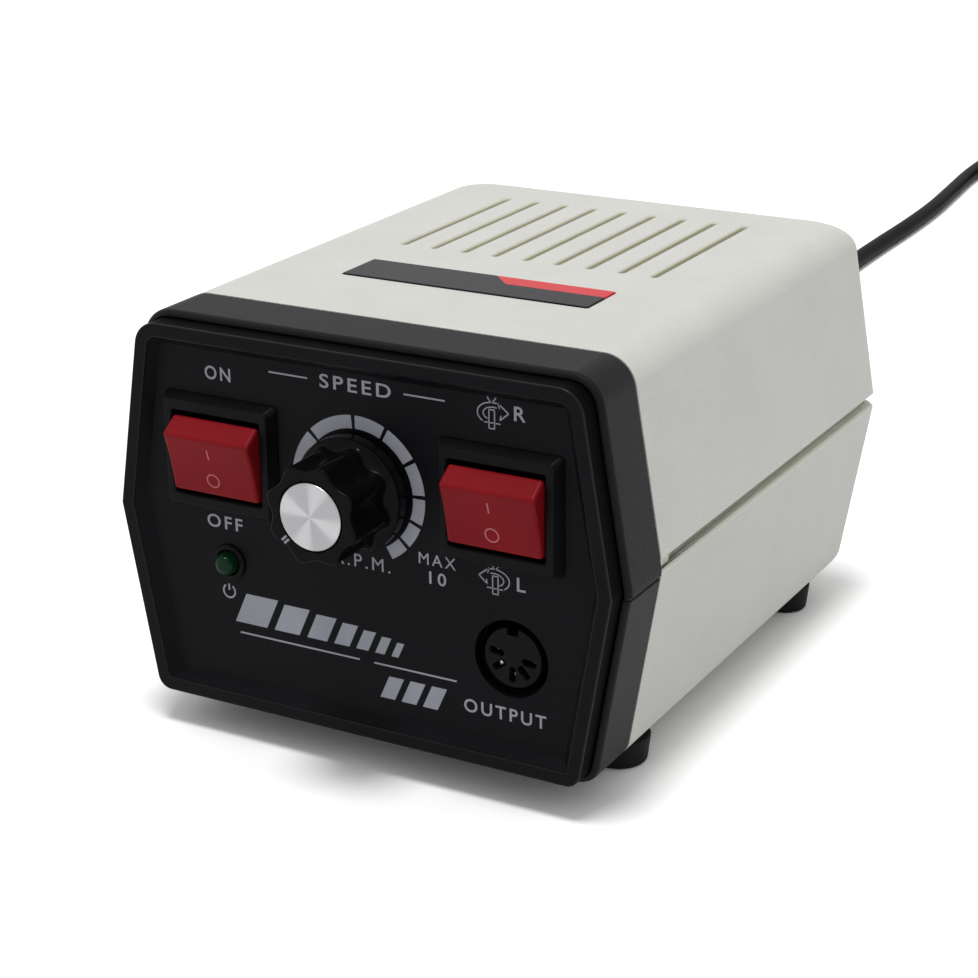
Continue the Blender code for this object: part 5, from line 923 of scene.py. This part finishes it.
def spunFinishPaintedSectors():
    # turned aluminium: fine turned lines along the radius set its colour, roughness and bump, and the colour
    # is also lighter in four sectors about the knob's axis, a painted highlight like the light on a brushed
    # disc
    f = Finish("spunAluminiumPaintedSectors", Metallic=1.0)
    x, z = f.along("X"), f.along("Z") - ct["knobZ"] * mm
    angle = f.node("ShaderNodeMath", {"operation": "ARCTAN2"}, {0: z, 1: x})
    # painted highlight: four bright sectors about the knob's axis, lightening the colour
    paintedHighlightSectors = f.node("ShaderNodeMath", {"operation": "COSINE"}, {0: (angle - 1.25) * 2.0})
    paintedHighlightSectors = f.node("ShaderNodeMath", {"operation": "ABSOLUTE"}, {0: paintedHighlightSectors})
    radius = f.node("ShaderNodeMath", {"operation": "SQRT"}, {0: x * x + z * z})
    inputs = {"W": radius, "Scale": 9000.0, "Detail": 2.0}
    lines = f.node("ShaderNodeTexNoise", {"noise_dimensions": "1D"}, inputs)
    colour = f.blend(paintedHighlightSectors.step(0.55, 1.0) * 0.8 + lines * 0.25, (0.33, 0.33, 0.34), (0.49, 0.49, 0.50))
    return f.set(Base_Color=colour, Roughness=lines * 0.16 + 0.24, Normal=f.bump(lines, 0.006 * mm))


finishes["spun"] = spunFinishPaintedSectors()
makeKnob()
makeCap()
makePointer()
print("knob made")


# pilot lamp and output socket

lampSizes = dict(
    lensRadius=2.55, dome=1.3, length=9.0, flangeRadius=4.1, flangeThick=0.45, flangeEdge=0.4,
    barrel=3.5, barrelLength=7.0,
)
socketSizes = dict(
    bore=8.2, wall=1.4, depth=11.0, flangeU=15.5, flangeV=10.5, flangeThick=1.6, insertRadius=6.6,
    insertEdge=0.25, recess=0.6, keyWidth=2.6, keyHalf=1.7, keyDepth=6.0,
    slotAngles=(168.0, 214.0, 268.0, 312.0, 352.0), slotInner=2.1, slotOuter=5.5, slotHalf=0.78,
    slotDepth=5.0,
    contactCircle=4.3, contactSunk=1.6,
    pin=((0, 0), (0.42, 0.05), (0.6, 0.35), (0.6, 3.6), (0, 3.6)),
    disc=((0, 0.3), (5.9, 0.3), (6.2, 0.6), (6.2, 1.4), (5.9, 1.7), (0, 1.7)),
    tag=((0, 1.7), (0.6, 1.7), (0.6, 4.6), (0.35, 5.0), (0, 5.0)),
)


def makeLamp(s):
    # a turned holder with a thin rounded flange, and a lens with a spherical end
    centre, seat, bore = (ct["ledX"], 0, ct["ledZ"]), faceY - 0.3, s["lensRadius"] + 0.3
    front, rear = seat - s["flangeThick"], seat + s["barrelLength"]
    places, insets = quarter(front, s["flangeEdge"], 5)
    profile = [(bore, rear), (bore, front + 0.2), (bore + 0.2, front)]
    profile += [(s["flangeRadius"] - inset, place) for place, inset in zip(places, insets)]
    profile += [(s["flangeRadius"], seat), (s["barrel"], seat), (s["barrel"], rear)]
    holder = build("lampHolder", [turned(profile, centre)])
    dress(holder, "box", "face", ["led_holder"], smooth=30)
    base, radius = faceY - s["dome"], s["lensRadius"]
    turns = np.linspace(0, math.pi / 2, 13)
    dome = [(radius * math.sin(t), base - radius * math.cos(t)) for t in turns]
    dome += [(radius, base + s["length"]), (0.0, base + s["length"])]
    lens = build("lampLens", [turned(dome, centre, sides=48)])
    dress(lens, "box", "lens", ["led_lens"], smooth=40)


def makeSocket(s):
    # a housing behind the panel, an insert with key and slots, and contacts deep in the slots
    x, z, seat, front = ct["socketX"], ct["socketZ"], backY + 0.3, faceY + s["recess"]
    rear, wall = seat + s["depth"], s["wall"]
    flange = rectangle(s["flangeU"], s["flangeV"], wall, x, z)
    housing = build("socketHousing", [prismY(flange, seat, seat + s["flangeThick"])])
    carve(housing, "UNION", [prismY(circle(s["bore"] + wall, x, z, 96), seat + 0.3, rear)])
    carve(housing, "DIFFERENCE", [prismY(circle(s["bore"], x, z, 96), seat - 1, rear - wall)])
    dress(housing, "box", "housing", ["socket_housing"])
    places, insets = quarter(front, s["insertEdge"], 4)
    lines = [circle(s["insertRadius"] - inset, x, z, 96) for inset in insets + [0.0]]
    insert = build("socketInsert", [skin(alongY(lines, places + [rear - wall - 0.3]))])
    key = rectangle(s["keyWidth"] / 2, s["keyHalf"], 0.3, x, z + s["insertRadius"])
    middle, half = (s["slotOuter"] + s["slotInner"]) / 2, (s["slotOuter"] - s["slotInner"]) / 2
    slot = rectangle(half, s["slotHalf"], s["slotHalf"] - 0.05) + (middle, 0)
    slots, pins, tags = [], [], []
    for turn in np.radians(s["slotAngles"]):
        out, side = spoke(turn)
        outline = slot[:, :1] * out + slot[:, 1:] * side + (x, z)
        slots.append(prismY(outline, front - 1, front + s["slotDepth"]))
        pinX, pinZ = out * s["contactCircle"] + (x, z)
        pins.append(turned(s["pin"], (pinX, front + s["contactSunk"], pinZ), sides=20))
        tags.append(turned(s["tag"], (pinX, rear, pinZ), sides=16))
    carve(insert, "DIFFERENCE", slots + [prismY(key, front - 1, front + s["keyDepth"])])
    dress(insert, "box", "housing", ["socket_insert"])
    contacts = build("socketContacts", pins + [turned(s["disc"], (x, rear, z))] + tags)
    dress(contacts, "box", "zinc", ["socket_contacts"], smooth=30)


makeLamp(lampSizes)
makeSocket(socketSizes)
print("lamp and socket made")


# printing on the panel: words from a plain font, rules, dial segments and simple signs, all a hair thick

printSizes = dict(
    rise=0.03, sink=0.06, capHeight=3.0, dialInner=13.15, dialOuter=16.0, dialGap=1.6,
    letterSpace=1.28, barsLow=20.6, shortBarsLow=10.6, rulesLow=18.0, rulesHigh=18.4, slant=0.45,
)
pr = printSizes


def stroke(path, width, closed=False):
    # line of one width on the panel
    rings = band(path, width, -pr["sink"], pr["rise"], closed)
    return skin(np.stack([rings[..., 0], faceY - rings[..., 2], rings[..., 1]], -1), loop=closed)


def word(text, left, right, base, height, weight):
    # letters as a thin solid, scaled so that they fill a measured box
    curve = bpy.data.curves.new(text, "FONT")
    curve.body = text
    curve.extrude = 0.5
    curve.offset = weight
    curve.resolution_u = 5
    curve.space_character = pr["letterSpace"]
    holder = added(text, curve)
    mesh = frozen(holder)
    points = np.zeros(len(mesh.vertices) * 3)
    mesh.vertices.foreach_get("co", points)
    points = points.reshape(-1, 3)
    across, up, out = ((points - points.min(0)) / np.ptp(points, axis=0)).T
    depth = pr["sink"] - (pr["sink"] + pr["rise"]) * out
    placed = np.stack([left + (right - left) * across, faceY + depth, base + height * up], 1)
    faces = [list(p.vertices) for p in mesh.polygons]
    bpy.data.objects.remove(holder)
    bpy.data.meshes.remove(mesh)
    return placed, faces


def arc(radius, start, end, x=0.0, z=0.0, steps=24, squeeze=1.0):
    # points on a circle or, squeezed, on an ellipse; angles in degrees clockwise from the top
    turns = np.radians(90 - np.linspace(start, end, steps))
    return np.stack([x + radius * np.cos(turns), z + radius * squeeze * np.sin(turns)], 1)


def makeDial():
    # ring of segments with gaps between them, from one end of the knob's travel to the other
    edges = (-150.0, -124.0, -103.0, -82.0, -46.0, -2.7, 26.5, 58.0, 87.0, 111.0, 132.6, 152.0)
    middle, width = (pr["dialInner"] + pr["dialOuter"]) / 2, pr["dialOuter"] - pr["dialInner"]
    gap = pr["dialGap"]
    return [stroke(arc(middle, a + gap, b - gap, 0, ct["knobZ"]), width) for a, b in zip(edges, edges[1:])]


def turnSign(x, z, mirror):
    # a tool standing upright with hooked arrows turning about it: clockwise, or the other way when mirrored
    lines = [
        (arc(3.5, 222, 388, 0.4, -0.1, 24, 0.66), 0.26), (arc(2.3, 215, 380, 0.5, -0.1, 20, 0.6), 0.24),
        ([(1.5, 2.3), (3.9, 0.4)], 0.28), ([(3.9, 0.4), (1.9, -1.3)], 0.28),
        ([(1.5, 2.3), (1.9, 1.1)], 0.22), ([(1.9, -1.3), (2.2, -0.2)], 0.22),
        ([(-0.5, 0.7), (-0.5, -3.2)], 0.26), ([(0.75, 0.7), (0.75, -3.2)], 0.26),
        ([(-0.62, 0.7), (0.87, 0.7)], 0.26), ([(-0.62, -3.2), (0.87, -3.2)], 0.26),
        ([(-1.6, -2.0), (2.1, -2.0)], 0.24), ([(-0.85, 3.1), (0.1, 4.5)], 0.28),
        ([(0.1, 4.5), (1.05, 3.1)], 0.28), ([(1.05, 3.1), (0.1, 2.1)], 0.24),
        ([(0.1, 2.1), (-0.85, 3.1)], 0.24),
    ]
    return [stroke(np.asarray(points, float) * (mirror, 1) + (x, z), width) for points, width in lines]


def powerSign(x, z, radius, width=0.42):
    # a ring open at the top with an upright bar in the gap
    bar = [(x, z + radius * 0.15), (x, z + radius * 1.15)]
    return [stroke(arc(radius, 35, 325, x, z, 28), width), stroke(bar, width)]


def speedBars():
    # plain slanted bars that shorten to the right, over a long thin rule
    long = ((-32.5, 8.2, 27.6), (-22.4, 6.4, 27.0), (-14.0, 5.0, 26.4), (-7.2, 3.8, 25.8), (-1.7, 3.0, 25.2))
    long += ((3.0, 2.3, 24.6), (7.0, 1.7, 24.0))
    bars = [(left, width, pr["barsLow"], high) for left, width, high in long]
    bars += [(left, 3.6, pr["shortBarsLow"], 15.8) for left in (4.0, 9.2, 14.4)]
    bars += [(left, width, pr["rulesLow"], pr["rulesHigh"]) for left, width in ((-31.5, 30.5), (2.6, 20.0))]
    shapes = []
    for left, width, low, high in bars:
        ends = ((left, low), (left + width, low))
        lean = np.array([(high - low) * pr["slant"], high - low])
        outline = np.array([*ends, ends[1] + lean, ends[0] + lean]) + (0, stand)
        shapes.append(prismY(outline, faceY - pr["rise"], faceY + pr["sink"]))
    return shapes


def makePrints():
    # each word fills its box: left, right, base and height in mm, then the letters' weight
    cap = pr["capHeight"]
    words = (
        ("ON", -37.2, -30.7, 75.1, cap, 0.014), ("OFF", -38.6, -29.5, 41.7, cap, 0.014),
        ("SPEED", -8.5, 8.5, 77.4, cap, 0.012), ("R", 36.6, 39.2, 77.2, cap, 0.012),
        ("L", 37.0, 39.0, 41.2, cap, 0.012), ("OUTPUT", 24.4, 43.6, 11.9, cap, 0.014),
        ("MAX", 14.2, 22.9, 43.0, 2.5, 0.0), ("R.P.M.", -6.2, 7.3, 39.3, 2.9, 0.0),
        ("10", 16.6, 20.6, 38.9, 2.8, 0.012),
    )
    shapes = [word(text, left, right, stand + base, *rest) for text, left, right, base, *rest in words]
    for start, end in ((-21.0, -11.5), (11.5, 21.0)):
        shapes.append(stroke([(start, stand + 78.9), (end, stand + 78.9)], 0.35))
    shapes += makeDial() + turnSign(31.5, stand + 78.0, 1) + turnSign(32.2, stand + 42.8, -1)
    shapes += powerSign(-33.8, stand + 27.4, 1.5) + speedBars()
    dress(build("panelPrinting", shapes), "box", "ink", smooth=30)


makePrints()
print("printing laid on")


# plate on top, feet, and the fittings at the rear

trimSizes = dict(
    plateSink=0.3, plateSteps=((0.0, 0.0), (0.0, 0.45), (0.06, 0.57), (0.2, 0.6)),
    stripeFrom=1.3, stripeDepth=5.3, stripeSlant=0.95,
    footRadii=(7.0, 7.0, 6.0, 6.0), footTaper=0.6, footTop=stand - 0.3, footEdge=0.9, seatRadius=3.9,
    seatDepth=4.6, fuseX=27.0, jackX=2.0, rearZ=stand + 26.0,
    fuseFlange=2.3, fuseFace=9.0, jackHalf=6.5, jackLength=13.0,
)
tr = trimSizes


def makePlate():
    # plate sunk into its seat, its upper edge drawn in along small steps
    low, deep = cs["topZ"] - tr["plateSink"], cs["plateDepth"] / 2
    insets, rises = zip(*tr["plateSteps"])
    lines = [rectangle(cs["plateHalf"] - d, deep - d, cs["plateCorner"], 0, plateMiddle) for d in insets]
    rear = plateMiddle + deep
    finishes["plate"] = plateFinish(tr["stripeFrom"], tr["stripeDepth"], rear, tr["stripeSlant"])
    plate = build("topPlate", [skin(alongZ(lines, low + np.array(rises)))])
    dress(plate, "box", "plate", ["top_plate"])


def makeFoot(name, x, y, radius):
    # rubber foot: rounded at the table, tapered upwards, with a round seat for the screw's head
    top, edge, seat, deep = tr["footTop"], tr["footEdge"], tr["seatRadius"], tr["seatDepth"]
    bore, turns = cs["boreRadius"], np.linspace(0, math.pi / 2, 6)
    profile = [(seat, 0.15), (seat + 0.15, 0.0)]
    inner = radius - tr["footTaper"] - edge
    profile += [(inner + edge * math.sin(t), edge * (1 - math.cos(t))) for t in turns]
    profile += [(radius, top - 0.2), (radius - 0.2, top), (bore, top), (bore, deep), (seat, deep)]
    foot = build(name + "Foot", [turned(profile, (x, y, 0), (0, 0, 1))])
    dress(foot, "box", "rubber", [name + "_foot"], smooth=30)


def makeFuse():
    # turned holder with a flange, and a turned cap with a slot for a coin
    x, z, rear = tr["fuseX"], tr["rearZ"], cs["rear"]
    flange, face = rear + tr["fuseFlange"], rear + tr["fuseFace"]
    holder = [(0.0, rear - 22), (6.0, rear - 22), (6.0, rear + 0.3), (8.0, rear + 0.3), (8.0, flange - 0.3)]
    holder += [(7.7, flange), (4.4, flange), (4.4, rear - 20), (0.0, rear - 20)]
    piece = build("fuseHolder", [turned(holder, (x, 0, z))])
    dress(piece, "box", "black", ["fuse_holder"], smooth=30)
    seat = flange + 0.3
    cap = [(0.0, rear - 3.4), (4.1, rear - 3.4), (4.1, seat), (6.0, seat), (6.2, seat + 0.2)]
    cap += [(6.2, face - 0.9), (5.9, face - 0.35), (5.3, face), (0.0, face)]
    piece = build("fuseCap", [turned(cap, (x, 0, z))])
    carve(piece, "DIFFERENCE", [prismY(rectangle(4.34, 0.6, 0.3, x, z), face - 1.6, face + 1)])
    dress(piece, "fuse_carrier", "black", ["fuse_cap"], smooth=30)


def makeJack():
    # square body with a turned barrel through the rear wall, and a six-sided nut
    x, z, rear, half = tr["jackX"], tr["rearZ"], cs["rear"], tr["jackHalf"]
    inside = rear - cs["wall"] - cs["gap"]
    barrel = [(0.0, inside - 12), (4.6, inside - 12), (4.6, rear + 2.7), (4.3, rear + 3.0), (0.0, rear + 3.0)]
    bore = [(0.0, rear - 11), (3.3, rear - 11), (3.3, rear + 2.7), (3.9, rear + 3.3), (0.0, rear + 3.3)]
    jack = build("pedalJack", [prismY(rectangle(half, half, 0.6, x, z), inside - tr["jackLength"], inside)])
    carve(jack, "UNION", [turned(barrel, (x, 0, z))])
    carve(jack, "DIFFERENCE", [turned(bore, (x, 0, z))])
    dress(jack, "box", "black", ["pedal_jack"], smooth=30)
    nut = build("pedalJackNut", [prismY(circle(6.6, x, z, 6), rear + 0.3, rear + 2.3)])
    carve(nut, "DIFFERENCE", [prismY(circle(4.9, x, z), rear - 1, rear + 4)])
    dress(nut, "box", "zinc", ["pedal_jack_nut"], edge=0.25, smooth=30)


makePlate()
feet = ("front_left", "front_right", "rear_left", "rear_right")
for name, (x, y), radius in zip(feet, footCentres(), tr["footRadii"]):
    makeFoot(name, x, y, radius)
makeFuse()
makeJack()
print("trim made")


# the CAD's own pieces that stay, with a finish for each

nodeFinishes = dict(
    transformer_core="core", transformer_bobbin="nylon", transformer_winding="winding",
    transformer_strap="zinc", left_strap_screw="zinc", right_strap_screw="zinc", circuit_board="board",
    smoothing_capacitor="sleeve", bridge_rectifier="epoxy", heat_sink="drawn", power_transistor="epoxy",
    pot_body="zinc", pot_nut="zinc", pot_shaft="drawn", pot_terminals="brass", knob_set_screw="zinc",
    left_switch_base="brass", right_switch_base="brass", fuse_link="glass", fuse_nut="black",
    cord_tie="rubber", plug_body="cord", left_plug_pin="brass", right_plug_pin="brass", strain_relief="black",
)
for name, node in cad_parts.items():
    look = nodeFinishes.get(name) or ("zinc" if name.endswith("screw") else None)
    if look:
        node.data.materials.clear()
        node.data.materials.append(finishes[look])
print("CAD pieces dressed")


# pale floor and soft studio light

studio = dict(
    floor=0.70, floorMottle=0.006, floorSeen=1.25, world=0.54, sunStrength=1.52, sunAngle=16.0,
    sunTilt=(8.0, 1.0), reach=6.0,
)


def seenRays(tree):
    # 1 for rays from the camera, and for those that polished or clear pieces send on
    path = tree.nodes.new("ShaderNodeLightPath")
    seen = path.outputs["Is Camera Ray"]
    for kind in ("Is Glossy Ray", "Is Transmission Ray"):
        larger = tree.nodes.new("ShaderNodeMath")
        larger.operation = "MAXIMUM"
        tree.links.new(seen, larger.inputs[0])
        tree.links.new(path.outputs[kind], larger.inputs[1])
        seen = larger.outputs[0]
    return seen


def makeFloor(s):
    # a wide sheet that lights as one grey and is seen as a brighter one, so open floor reads as white
    floor = added("floor", bpy.data.meshes.new("floor"))
    reach = s["reach"]
    corners = [(-reach, -reach, 0), (reach, -reach, 0), (reach, reach, 0), (-reach, reach, 0)]
    floor.data.from_pydata(corners, [], [(0, 1, 2, 3)])
    f = Finish("paleFloor", Specular_IOR_Level=0.0)
    mottle = f.noise(3.0)
    colour = f.blend(mottle, (s["floor"],) * 3, (s["floor"] + s["floorMottle"],) * 3)
    f.set(Base_Color=colour, Roughness=mottle * 0.1 + 0.85)
    constants = {"Base Color": (s["floorSeen"],) * 3, "Roughness": 0.9, "Specular IOR Level": 0.0}
    seen = f.node("ShaderNodeBsdfPrincipled", {}, constants)
    shaders = {0: Wire(f, seenRays(f.tree)), 1: Wire(f, f.shader.outputs[0]), 2: seen}
    mixed = f.node("ShaderNodeMixShader", {}, shaders)
    f.feed(f.tree.nodes["Material Output"].inputs["Surface"], mixed)
    floor.data.materials.append(f.material)


def makeStudio(s):
    # floor, a broad sun from nearly overhead, and a world that is dimmer as light than as seen
    makeFloor(s)
    sun = added("sun", bpy.data.lights.new("sun", "SUN"))
    sun.data.energy = s["sunStrength"]
    sun.data.angle = math.radians(s["sunAngle"])
    sun.rotation_euler = (*np.radians(s["sunTilt"]), 0)
    world = bpy.data.worlds.new("studio")
    world.use_nodes = True
    tree = world.node_tree
    ground = tree.nodes["Background"]
    ground.inputs["Color"].default_value = (1, 1, 1, 1)
    strength = tree.nodes.new("ShaderNodeMapRange")
    strength.inputs["To Min"].default_value = s["world"]
    strength.inputs["To Max"].default_value = 1.0
    tree.links.new(seenRays(tree), strength.inputs["Value"])
    tree.links.new(strength.outputs["Result"], ground.inputs["Strength"])
    bpy.context.scene.world = world
    bpy.context.scene.view_settings.view_transform = "Standard"


makeStudio(studio)
print("studio lit")
